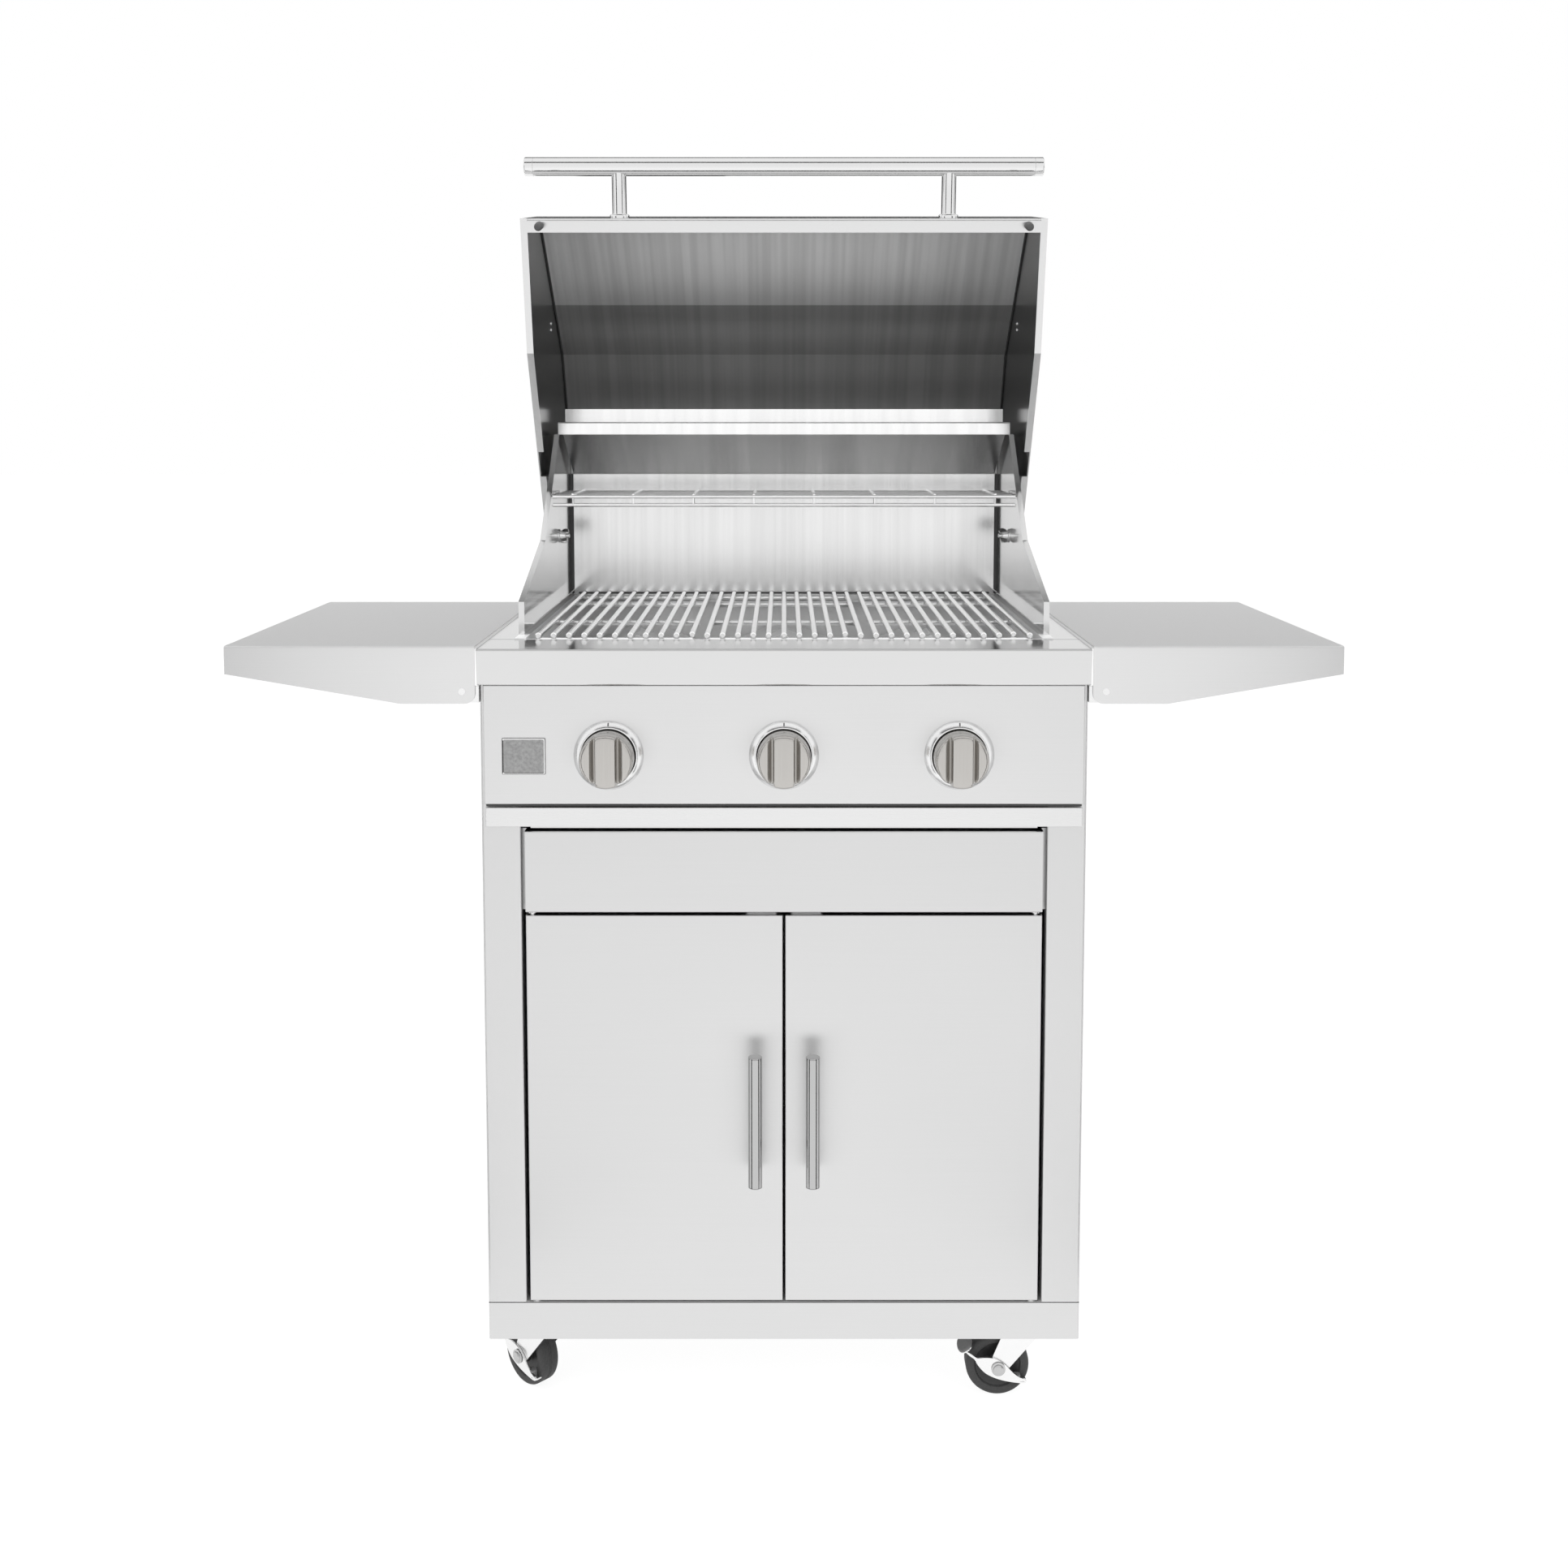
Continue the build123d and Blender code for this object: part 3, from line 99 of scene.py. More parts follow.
# Grates and rack
ROD_RADIUS = 3.6
ROD_PITCH = 18.2
RODS = 11
ROD_HEIGHT = 917.8
GRATE_FRONT = 89.5
GRATE_REAR = 553
GRATE_SHORT = {"left": 10, "center": 9, "right": 9}
SHORT_ROD_SETBACK = 9
CROSS_DEPTHS = (93.5, 261, 465, 549)
CROSS_RADIUS = 3.5
CROSS_DROP = 6.1
CROSS_OVERHANG = 1.6
RACK_HEIGHT = 1070
RACK_FRONT = 339
RACK_DEPTH = 131
RACK_HALF = 307
RACK_ROD_RADIUS = 2.5
RACK_RODS = 5
RACK_RAIL_DROP = 11
RACK_CROSSES = 8
RACK_CROSS_PITCH = 80
RACK_CROSS_RADIUS = 2.2
RACK_POST_RADIUS = 1.7

# Head: wing nuts and the dark sheets between the wings and the rear wall, painted shade in those gaps
NUT_SPOT = (437, 1011)
NUT_TILT = 35
WING_FACE = 311
GAP_SHADE_SPAN = (306.4, 310.8)
GAP_SHADE_DEPTH = 556.5
GAP_SHADE_HEIGHTS = (917, 1092)

# Knobs, bezels and the bare plate on the control panel; slope and out are directions on a bezel's cone
KNOB_SPACING = 200
KNOB_HEIGHT = 791
KNOB_RADIUS = 30.5
KNOB_ROUNDING = 5
KNOB_FRONT = -36
KNOB_BACK = 3
KNOB_FLANK = 32.5
KNOB_CROWN_DROP = 0.9
GRIP_EDGE = 10.8
GRIP_FALL = 2.4
GROOVE_PLACE = 13.4
GROOVE_WIDTH = 3.2
GROOVE_DEPTH = 6
PANEL_FACE = 8
BEZEL_PROFILE = [(0, 31.6), (7.6, 31.6), (8, 32), (8, 32.6), (7.7, 33.2), (1.6, 39.7), (1, 40), (0, 40)]
BEZEL_SLOPE = np.array([0, 0.684, 0.729])
BEZEL_OUT = np.array([0, -0.729, 0.684])
# Black ring in the recess between each knob and its bezel: painted shade in that recess
SHADE_RING_PROFILE = [(0.1, 27), (0.1, 31.5), (0.7, 31.5), (0.7, 27)]
TICK_AHEAD = 4.9
TICK_RISE = 36.2
TICK_SIZE = (1.5, 4.6)
TICK_THICKNESS = 0.6
PLATE_X = -297
PLATE_HEIGHT = 790
PLATE_SIZE = (50, 42.5)
PLATE_CORNER = 1.5
PLATE_RIM = ((0.6, 1.2), (0.8, 2.2), (1.4, 2.4), (1.9, 2.0), (1.9, 1.2))

# Door handles
DOOR_BAR_X = {"left": -33, "right": 33}
DOOR_BAR_DEPTH = -20
DOOR_BAR_HEIGHT = 371
DOOR_BAR_HALF = 77
DOOR_BAR_RADIUS = 8
DOOR_FACE = 12
STANDOFF_OFFSET = 53
STANDOFF_PROFILE = [(0, 5), (23, 5), (25, 4.5)]

# Cart: screws, and the back panel's vent rows as in the part's source
SCREW_RADIUS = 3.6
SMALL_SCREW_RADIUS = 3.2
BACK_SCREW_DEPTH = 570.2
SHELL_SCREW_DEPTH = 574.7
SIDE_SCREW_DEPTH = 552
SIDE_FACE = 347
VENT_RISE = 100
VENT_DROP = 170
# Size of the dark sheets, painted shade, behind each vent row
VENT_SHADE_SIZE = (440, 14)

# Castors as (x, depth, turn), and the foot brakes as (ahead, height) from the castor's foot
CASTORS = {
    "front_left": (-287, 65, -45),
    "front_right": (287, 65, 0),
    "rear_left": (-287, 500, 20),
    "rear_right": (287, 500, -15),
}
WHEEL_RADIUS = 38
CASTOR_TRAIL = 30
LEG_OUTER = 18
LEVER_SPACE = 3.4
PLATE_UNDER = 91
PLATE_BOLT_OFFSET = 26
PLATE_BOLT = [(0, 5), (2.4, 5), (3, 4.2)]
AXLE_NUT = [(0.2, 7.4), (4.6, 7.4), (5.4, 6.4)]
AXLE_HEAD = [(0, 8.2), (1.2, 8.4), (1.6, 6.4), (3, 6), (3.8, 4.6), (4.1, 2)]
SWIVEL_CUP = [(80.2, 23.5), (84, 24.6), (87.5, 23.4), (89.2, 20.5), (90.2, 16)]
TYRE_HALF = 13
TYRE_SHOULDER = 5
TREAD = [(-2.2, 38), (-1.6, 37.4), (-0.8, 37.4), (-0.2, 38), (0.2, 38), (0.8, 37.4), (1.6, 37.4), (2.2, 38)]
TYRE_SEAT = [(12.6, 28), (11, 26.6), (8.4, 26)]
HUB_SIDE = [(10.5, 26.4), (10, 24.5), (8.6, 22), (8, 12), (9, 10.4), (14.2, 10), (15, 9), (15, 5.5)]
LEVER_EDGE = [(-71, 60.5), (-64, 57), (-56, 51.5), (-48, 51.8), (-40, 51.6), (-33, 50.2), (-26, 46.5),
              (-19, 40.5), (-12, 33), (-5, 27.5), (2, 24.5), (4, 22), (1, 19.6), (-10, 20.4), (-24, 23),
              (-36, 27), (-46, 32.5), (-54, 41), (-59, 49.5), (-66, 55)]
LEVER_SHEET = 2.5
PEDAL_MIDDLE = (-69, 61)
PEDAL_WAY = (0.848, 0.53)
LEVER_TIP = (-1, 20.6)

# Finishes: scales of the grain along one axis, and the noise values between which a colour ramp runs
ALONG_X, ALONG_Y, ALONG_Z = (7, 1300, 1300), (1300, 7, 1300), (1300, 1300, 7)
FINE_GRAIN = (900, 900, 900)
EVEN = {"streak": 0.012, "cloud": 0.012, "rough_swing": 0.03, "bump": 0.015}
GRAIN_BAND = (0.25, 0.75)
CLOUD_BAND = (0.3, 0.7)
STAIN_BAND = (0.35, 0.65)
STREAK_SCALE = (95, 1.5, 1.5)
LEAST_ROUGHNESS = 0.02
RELIEF_DEPTH = 0.0003
BRUSH_SPREAD = 0.75

QUARTER_TURN = np.linspace(0, pi / 2, 6)
HANDS = (-1, 1)


def at(x, depth, height):
    """A point in metres from x, depth and height in millimetres."""
    return np.array([x * MM, TRIM_Y + depth * MM, height * MM])


def lid_at(depth, height, x=0):
    """A point of the closed lid turned open: hinge + R(-76 deg) (depth, height), at x."""
    c, s = cos(radians(-LID_OPEN)), sin(radians(-LID_OPEN))
    return at(x, HINGE[0] + c * depth - s * height, HINGE[1] + s * depth + c * height)


def lid_way(depth, height):
    """A direction of the closed lid turned open."""
    way = lid_at(depth, height) - lid_at(0, 0)
    return way / np.linalg.norm(way)


# Surfaces as whole arrays


def strip_faces(rows, columns):
    """Quads of a grid of points, row by row; the last column joins the first."""
    row, column = np.meshgrid(np.arange(rows - 1), np.arange(columns), indexing="ij")
    here, following = row * columns + column, row * columns + (column + 1) % columns
    quads = np.stack([here, following, following + columns, here + columns], -1)
    return quads.reshape(-1, 4).tolist()


def turned(profile, centre, axis, steps=32):
    """Surface of revolution: centre + axis a(v) + r(v) (cos u e1 + sin u e2), with its ends capped."""
    axis = np.asarray(axis, float) / np.linalg.norm(axis)
    e1 = np.cross(axis, Z_AXIS if abs(axis[2]) < 0.9 else X_AXIS)
    e1 /= np.linalg.norm(e1)
    e2 = np.cross(axis, e1)
    along, radius = np.array(profile, float).T * MM
    angle = np.arange(steps) * 2 * pi / steps
    ring = np.cos(angle)[:, None] * e1 + np.sin(angle)[:, None] * e2
    points = centre + along[:, None, None] * axis + radius[:, None, None] * ring
    faces = strip_faces(len(along), steps)
    last = (len(along) - 1) * steps
    caps = [list(range(steps))[::-1], list(range(last, last + steps))]
    return points.reshape(-1, 3), faces + caps


def hoop(profile, centre, axis, steps=48):
    """Ring of revolution: the same formula as turned, with the profile closed on itself."""
    points, faces = turned(list(profile) + [profile[0]], centre, axis, steps)
    rows = len(profile)
    quads = np.array(faces[:-2]) % (rows * steps)
    return points[: rows * steps], quads.tolist()


def rod(start, end, radius, steps=12, round_end=0.8):
    """Round bar: start + t (end - start) + r(t) (cos u e1 + sin u e2), with chamfered ends."""
    length = np.linalg.norm(end - start) / MM
    lip = min(round_end, radius * 0.6)
    profile = [(0, radius - lip), (lip, radius), (length - lip, radius), (length, radius - lip)]
    return turned(profile, start, end - start, steps)


def prism(outline, way, thickness, bevel=0.0):
    """Plate: outline(u) inset by the bevel, carried along way by the thickness, with both faces closed."""
    outline = np.asarray(outline, float)
    middle = outline.mean(0)
    way = np.asarray(way, float) / np.linalg.norm(way)
    mean_radius = np.linalg.norm(outline - middle, axis=1).mean()
    inset = middle + (outline - middle) * (1 - bevel / mean_radius)
    rows = [outline, outline + way * (thickness - bevel), inset + way * thickness]
    count = len(outline)
    faces = strip_faces(len(rows), count)
    last = (len(rows) - 1) * count
    caps = [list(range(count))[::-1], list(range(last, last + count))]
    return np.concatenate(rows), faces + caps


def rounded_outline(width, height, corner, centre, across, up, steps=6):
    """Rounded rectangle: quarter arcs of the corner radius about four corner centres."""
    quarter = np.linspace(0, pi / 2, steps)
    angle = np.concatenate([quarter + k * pi / 2 for k in range(4)])
    mid_x = np.repeat([1, -1, -1, 1], steps) * (width / 2 - corner)
    mid_y = np.repeat([1, 1, -1, -1], steps) * (height / 2 - corner)
    flat_x, flat_y = mid_x + corner * np.cos(angle), mid_y + corner * np.sin(angle)
    return centre + MM * (flat_x[:, None] * across + flat_y[:, None] * up)


def thin_strip(width, height, corner, depth, middle_height, thickness):
    """Flat strip across the cart, with rounded corners, standing forward of a depth by its thickness."""
    outline = rounded_outline(width, height, corner, at(0, depth, middle_height), X_AXIS, Z_AXIS, 3)
    return prism(outline, -Y_AXIS, thickness * MM)


def mirrored(profile):
    """The profile's other half: (-a, r) for each of its points, from the last to the first."""
    return [(-along, radius) for along, radius in reversed(profile)]


def joined(parts):
    """Several (points, faces) as one."""
    points, faces, start = [], [], 0
    for p, f in parts:
        points.append(p)
        faces += [[i + start for i in face] for face in f]
        start += len(p)
    return np.concatenate(points), faces


def add_piece(name, surface, body, finish, replaced=(), smooth=30):
    """Makes a mesh piece from (points, faces), shaded smooth under an angle, riding on a body."""
    points, faces = surface
    mesh = bpy.data.meshes.new(name)
    mesh.from_pydata(points.tolist(), [], faces)
    piece = bpy.data.objects.new(name, mesh)
    bpy.context.scene.collection.objects.link(piece)
    welded = bmesh.new()
    welded.from_mesh(mesh)
    bmesh.ops.remove_doubles(welded, verts=welded.verts, dist=1e-6)
    bmesh.ops.dissolve_degenerate(welded, edges=welded.edges, dist=1e-7)
    bmesh.ops.recalc_face_normals(welded, faces=welded.faces)
    welded.to_mesh(mesh)
    welded.free()
    mesh.shade_smooth()
    mesh.set_sharp_from_angle(angle=radians(smooth))
    mesh.materials.append(finish)
    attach(piece, body)
    if replaced:
        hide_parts(*replaced)


# Finishes


def node_maker(material):
    """Short ways to add a node and to link two sockets."""
    tree = material.node_tree

    def make(kind, **inputs):
        made = tree.nodes.new("ShaderNode" + kind)
        for key, value in inputs.items():
            made.inputs[key.replace("_", " ")].default_value = value
        return made

    return make, tree.links.new


def grey(level, tint=(1, 1, 1)):
    """An RGBA colour from a grey level and a tint."""
    return (level * tint[0], level * tint[1], level * tint[2], 1)


def ramp(make, band, dark, light):
    """Colour ramp from a dark to a light colour over a band of values."""
    made = make("ValToRGB")
    first, last = made.color_ramp.elements
    first.position, last.position = band
    first.color, last.color = dark, light
    return made


def product(make, link, first, second):
    """Colour output of two colours multiplied."""
    both = make("MixRGB", Fac=1.0)
    both.blend_type = "MULTIPLY"
    link(first, both.inputs["Color1"])
    link(second, both.inputs["Color2"])
    return both.outputs["Color"]


def surface_finish(name, colour, rough, metal=1.0, stretch=FINE_GRAIN, streak=0.03, cloud=0.03,
                   rough_swing=0.04, bump=0.03, tint=(1, 1, 1), brushed=None, painted_tone_above=None,
                   heat_streaks=0.0):
    """Finish with a fine stretched grain and slow clouds: both shade the colour, the grain also the gloss.

    A brushed finish spreads its reflections across the brushing direction, held in the piece's own axes.
    Above a given height, painted_tone_above = (height, colour), the colour is swapped for that flat tone:
    painted light where it is lighter, painted shade where it is darker. Heat streaks run down the sheet, about
    11 mm apart across it."""
    material = bpy.data.materials.new(name)
    material.use_nodes = True
    make, link = node_maker(material)
    shader = material.node_tree.nodes["Principled BSDF"]
    shader.inputs["Metallic"].default_value = metal
    place = make("TexCoord")
    scaled = make("Mapping", Scale=stretch)
    link(place.outputs["Object"], scaled.inputs["Vector"])
    grain = make("TexNoise", Scale=1.0, Detail=5.0, Roughness=0.6)
    link(scaled.outputs["Vector"], grain.inputs["Vector"])
    slow = make("TexNoise", Scale=4.5, Detail=3.0)
    link(place.outputs["Object"], slow.inputs["Vector"])
    shade = ramp(make, GRAIN_BAND, grey(colour * (1 - streak), tint), grey(colour * (1 + streak), tint))
    link(grain.outputs["Fac"], shade.inputs["Fac"])
    clouds = ramp(make, CLOUD_BAND, grey(1 - cloud), grey(1))
    link(slow.outputs["Fac"], clouds.inputs["Fac"])
    coloured = product(make, link, shade.outputs["Color"], clouds.outputs["Color"])
    if painted_tone_above:
        height, painted_colour = painted_tone_above
        apart = make("SeparateXYZ")
        link(place.outputs["Object"], apart.inputs["Vector"])
        over = make("MapRange", From_Min=(height - 1) * MM, From_Max=height * MM)
        link(apart.outputs["Z"], over.inputs["Value"])
        painted_tone = make("MixRGB", Color2=grey(painted_colour))
        link(over.outputs["Result"], painted_tone.inputs["Fac"])
        link(coloured, painted_tone.inputs["Color1"])
        coloured = painted_tone.outputs["Color"]
    if heat_streaks:
        drawn = make("Mapping", Scale=STREAK_SCALE)
        link(place.outputs["Object"], drawn.inputs["Vector"])
        runs = make("TexNoise", Scale=1.0, Detail=1.5, Roughness=0.55)
        link(drawn.outputs["Vector"], runs.inputs["Vector"])
        stain = ramp(make, STAIN_BAND, grey(1 - heat_streaks), grey(1))
        link(runs.outputs["Fac"], stain.inputs["Fac"])
        coloured = product(make, link, coloured, stain.outputs["Color"])
    link(coloured, shader.inputs["Base Color"])
    gloss = make("MapRange", To_Min=max(rough - rough_swing, LEAST_ROUGHNESS), To_Max=rough + rough_swing)
    link(grain.outputs["Fac"], gloss.inputs["Value"])
    link(gloss.outputs["Result"], shader.inputs["Roughness"])
    relief = make("Bump", Strength=bump, Distance=RELIEF_DEPTH)
    link(grain.outputs["Fac"], relief.inputs["Height"])
    link(relief.outputs["Normal"], shader.inputs["Normal"])
    if brushed is not None:
        shader.inputs["Anisotropic"].default_value = BRUSH_SPREAD
        along = make("CombineXYZ", X=brushed[0], Y=brushed[1], Z=brushed[2])
        turn = make("VectorTransform")
        turn.vector_type, turn.convert_from, turn.convert_to = "VECTOR", "OBJECT", "WORLD"
        link(along.outputs["Vector"], turn.inputs["Vector"])
        link(turn.outputs["Vector"], shader.inputs["Tangent"])
    return material


front_steel = surface_finish("front_steel", 0.705, 0.32, stretch=ALONG_X, brushed=X_AXIS, **EVEN)
face_steel = surface_finish("face_steel", 0.76, 0.32, stretch=ALONG_X, brushed=X_AXIS, **EVEN)
panel_steel = surface_finish("panel_steel", 0.7, 0.32, stretch=ALONG_Y, brushed=Y_AXIS, **EVEN)
inner_steel = surface_finish("inner_steel", 0.74, 0.36, metal=0.6, stretch=ALONG_X, **EVEN)
# Above 913.8 mm the counter top is painted darker: a painted reflection of the dark grates and wings over it
trim_steel = surface_finish("trim_steel", 0.69, 0.13, stretch=ALONG_X, painted_tone_above=(913.8, 0.52), **EVEN)
strip_steel = surface_finish("strip_steel", 0.79, 0.28, stretch=ALONG_X, brushed=X_AXIS, **EVEN)
# Above 916.5 mm the shelf tops are painted lighter than their aprons: painted light on the faces that look up
shelf_steel = surface_finish("shelf_steel", 0.8, 0.38, stretch=ALONG_X, painted_tone_above=(916.5, 0.85), **EVEN)
# Above 1150 mm the rear wall is painted near white: a painted highlight on its upper strip and bar
chamber_steel = surface_finish("chamber_steel", 0.88, 0.2, stretch=ALONG_Z, cloud=0.05,
                               painted_tone_above=(1150, 0.99), heat_streaks=0.06)
wing_steel = surface_finish("wing_steel", 0.74, 0.12, stretch=ALONG_Y, cloud=0.05)
lid_steel = surface_finish("lid_steel", 0.74, 0.22, stretch=ALONG_X, brushed=X_AXIS, **EVEN)
# The open lid's liner is painted near white above 1334 mm and dark below it: painted light on the upper band
# and painted shade under it; the heat streaks are stains
hood_liner = surface_finish("hood_liner", 0.5, 0.42, metal=0.6, stretch=ALONG_X, cloud=0.06, brushed=X_AXIS,
                            painted_tone_above=(1334, 0.98), heat_streaks=0.16)
end_liner = surface_finish("end_liner", 0.3, 0.24, stretch=ALONG_Z, cloud=0.2)
bar_steel = surface_finish("bar_steel", 0.8, 0.1, streak=0.02)
grip_steel = surface_finish("grip_steel", 0.5, 0.1, streak=0.02)
rod_steel = surface_finish("rod_steel", 0.98, 0.16, stretch=(500, 40, 500), streak=0.04, cloud=0.1)
firebox_steel = surface_finish("firebox_steel", 0.88, 0.4, metal=0.25, stretch=(300, 300, 300), cloud=0.15)
nickel = surface_finish("satin_nickel", 0.54, 0.24, stretch=ALONG_Z, tint=(1.0, 0.97, 0.93))
zinc = surface_finish("zinc_plate", 0.88, 0.2, stretch=(700, 700, 700), cloud=0.06)
brass = surface_finish("valve_brass", 0.7, 0.3, stretch=(700, 700, 700), tint=(1.0, 0.78, 0.4))
tyre_rubber = surface_finish("tyre_rubber", 0.045, 0.62, metal=0.0, stretch=(600, 600, 600), streak=0.25)
hub_plastic = surface_finish("hub_plastic", 0.03, 0.45, metal=0.0, streak=0.2)
# Black for the rubber stops and the bezels' index ticks, and for the painted shade pieces in gaps, recesses
# and creases
stop_rubber_and_shade = surface_finish("stop_rubber_and_shade", 0.07, 0.6, metal=0.0, streak=0.2)
pedal_plastic = surface_finish("pedal_plastic", 0.2, 0.5, metal=0.0, streak=0.1)
plate_pewter = surface_finish("plate_pewter", 0.36, 0.34, stretch=(260, 260, 260), streak=0.25, cloud=0.15,
                              bump=0.3)
bezel_steel = surface_finish("bezel_steel", 0.88, 0.2, streak=0.02)
bolt_steel = surface_finish("bolt_steel", 0.55, 0.24, stretch=(700, 700, 700), cloud=0.08)

finishes = {
    "base_plinth": front_steel, "cabinet_floor": inner_steel, "back_panel": inner_steel,
    "side_panel_left": panel_steel, "side_panel_right": panel_steel, "top_fascia": front_steel,
    "door_left": front_steel, "door_right": front_steel, "front_trim": trim_steel, "top_frame": trim_steel,
    "control_panel": face_steel, "firebox_shell": firebox_steel, "wing_left": wing_steel,
    "wing_right": wing_steel, "rear_baffle": chamber_steel, "rear_shell": front_steel,
    "flame_tamers": firebox_steel, "burners": firebox_steel, "drip_tray": strip_steel,
    "tray_runners": firebox_steel, "lid_shell": lid_steel, "lid_end_left": lid_steel,
    "lid_end_right": lid_steel, "shelf_left": shelf_steel, "shelf_right": shelf_steel,
    "gas_valves": brass,
}
for name, node in nodes.items():
    node.data.materials.clear()
    node.data.materials.append(finishes.get(name, zinc))

# Lid handle: a smooth bar with end plugs on two flanged posts
face_length = hypot(BROW[0] - LIP[0], BROW[1] - LIP[1])
face_up = ((BROW[0] - LIP[0]) / face_length, (BROW[1] - LIP[1]) / face_length)
post_foot = (LIP[0] + LID_POST_RISE * face_up[0], LIP[1] + LID_POST_RISE * face_up[1])
bar_spot = (post_foot[0] - LID_BAR_REACH * face_up[1], post_foot[1] + LID_BAR_REACH * face_up[0])
post_way = lid_way(-face_up[1], face_up[0])


def bar_profile(half, radius, plug, rounding):
    """Bar from -half to half with rounded ends and a hairline seam where each end plug starts."""
    inward, outward = 1 - np.cos(QUARTER_TURN), 1 - np.sin(QUARTER_TURN)
    rise = np.stack([rounding * inward, radius - rounding * outward], 1)
    rise = np.concatenate([[(0, radius * 0.3)], rise])
    seam = np.array([(plug, radius), (plug + 0.3, radius - 0.5), (plug + 0.6, radius)])
    left = np.concatenate([rise, seam])
    left[:, 0] -= half
    right = left[::-1] * (-1, 1)
    return np.concatenate([left, right])


lid_bar_profile = bar_profile(LID_BAR_HALF, LID_BAR_RADIUS, plug=11, rounding=1.6)
lid_bar = turned(lid_bar_profile, lid_at(*bar_spot), X_AXIS, 48)
add_piece("lid_bar", lid_bar, "lid", bar_steel, ["lid_handle_bar"])
posts = [turned(LID_POST_PROFILE, lid_at(*post_foot, hand * LID_POST_X), post_way, 32) for hand in HANDS]
add_piece("lid_posts", joined(posts), "lid", bar_steel, ["lid_handle_posts"])

# Door handles: a bar on two standoffs
for hand, x in DOOR_BAR_X.items():
    feet = [at(x, DOOR_FACE, DOOR_BAR_HEIGHT + side * STANDOFF_OFFSET) for side in HANDS]
    standoffs = [turned(STANDOFF_PROFILE, foot, -Y_AXIS, 20) for foot in feet]
    grip_profile = bar_profile(DOOR_BAR_HALF, DOOR_BAR_RADIUS, plug=0.9, rounding=0.6)
    grip = turned(grip_profile, at(x, DOOR_BAR_DEPTH, DOOR_BAR_HEIGHT), Z_AXIS, 40)
    add_piece(f"door_bar_{hand}", joined([grip] + standoffs), f"door_{hand}", grip_steel,
              [f"door_handle_{hand}"])

# Knobs: a disc with a raised grip bar, a groove and a flat flank on either side of it


def knob_surface(x):
    """Height over the disc: a grip plateau for |s| < 11, a groove beside it, flat flanks and a rounded rim.

    flank(s) = 32.5 - 6 exp(-((|s| - 13.4) / 3.2)^2), blended into the plateau by a smooth step; the rim
    falls along a 5 mm arc. The grid runs over s, across the grip, and over chords of the disc; its outer rows
    drop to the back. It is finer where the grip's sides and the rim fall."""
    reach = KNOB_BACK - KNOB_FRONT
    wall = np.linspace(0, 1, 9)
    across = np.concatenate([np.linspace(0, 10.6, 5), 10.6 + 3.4 * wall[1:], 14 + 5 * wall[1:],
                             19 + 11 * wall[1:] ** 0.8, [30.4, KNOB_RADIUS]])
    across = np.concatenate([-across[:0:-1], across])
    chord = np.sqrt(np.maximum(KNOB_RADIUS**2 - across**2, 0))
    t = np.concatenate([np.linspace(0, 0.8, 7), np.linspace(0.82, 1, 14)])
    t = np.concatenate([-t[:0:-1], t])
    s, v = np.meshgrid(across, t, indexing="ij")
    high = v * chord[:, None]
    step = np.clip((np.abs(s) - GRIP_EDGE) / GRIP_FALL, 0, 1)
    step = step * step * (3 - 2 * step)
    flank = KNOB_FLANK - GROOVE_DEPTH * np.exp(-(((np.abs(s) - GROOVE_PLACE) / GROOVE_WIDTH) ** 2))
    crown = reach - KNOB_CROWN_DROP * (np.abs(high) / KNOB_RADIUS) ** 3
    top = crown * (1 - step) + flank * step
    inside = np.clip(KNOB_ROUNDING - (KNOB_RADIUS - np.hypot(s, high)), 0, KNOB_ROUNDING)
    top = top - (KNOB_ROUNDING - np.sqrt(np.maximum(KNOB_ROUNDING**2 - inside**2, 0)))
    back = np.zeros((len(across), 1))
    top = np.concatenate([back, top, back], 1)
    s, high = np.pad(s, ((0, 0), (1, 1)), "edge"), np.pad(high, ((0, 0), (1, 1)), "edge")
    points = np.stack([x + s, KNOB_BACK - top, KNOB_HEIGHT + high], -1)
    points = points.reshape(-1, 3) * MM + (0, TRIM_Y, 0)
    return points, strip_faces(*s.shape)


bezels, ticks, shade_rings = [], [], []
for name, x in (("left", -KNOB_SPACING), ("center", 0), ("right", KNOB_SPACING)):
    add_piece(f"knob_grip_{name}", knob_surface(x), f"knob_{name}", nickel,
              [f"knob_{name}"], smooth=38)
    bezels.append(hoop(BEZEL_PROFILE, at(x, PANEL_FACE, KNOB_HEIGHT), -Y_AXIS, 72))
    # Painted shade ring in the recess between the knob and its bezel
    shade_rings.append(hoop(SHADE_RING_PROFILE, at(x, PANEL_FACE, KNOB_HEIGHT), -Y_AXIS, 48))
    tick_middle = at(x, PANEL_FACE - TICK_AHEAD, KNOB_HEIGHT + TICK_RISE) - TICK_THICKNESS / 2 * MM * BEZEL_OUT
    mark = rounded_outline(*TICK_SIZE, 0.5, tick_middle, X_AXIS, BEZEL_SLOPE, 3)
    ticks.append(prism(mark, BEZEL_OUT, TICK_THICKNESS * MM))
add_piece("bezel_rings", joined(bezels), "cart", bezel_steel, ["knob_bezels"])
add_piece("bezel_marks_and_shade_rings", joined(ticks + shade_rings), "cart", stop_rubber_and_shade)

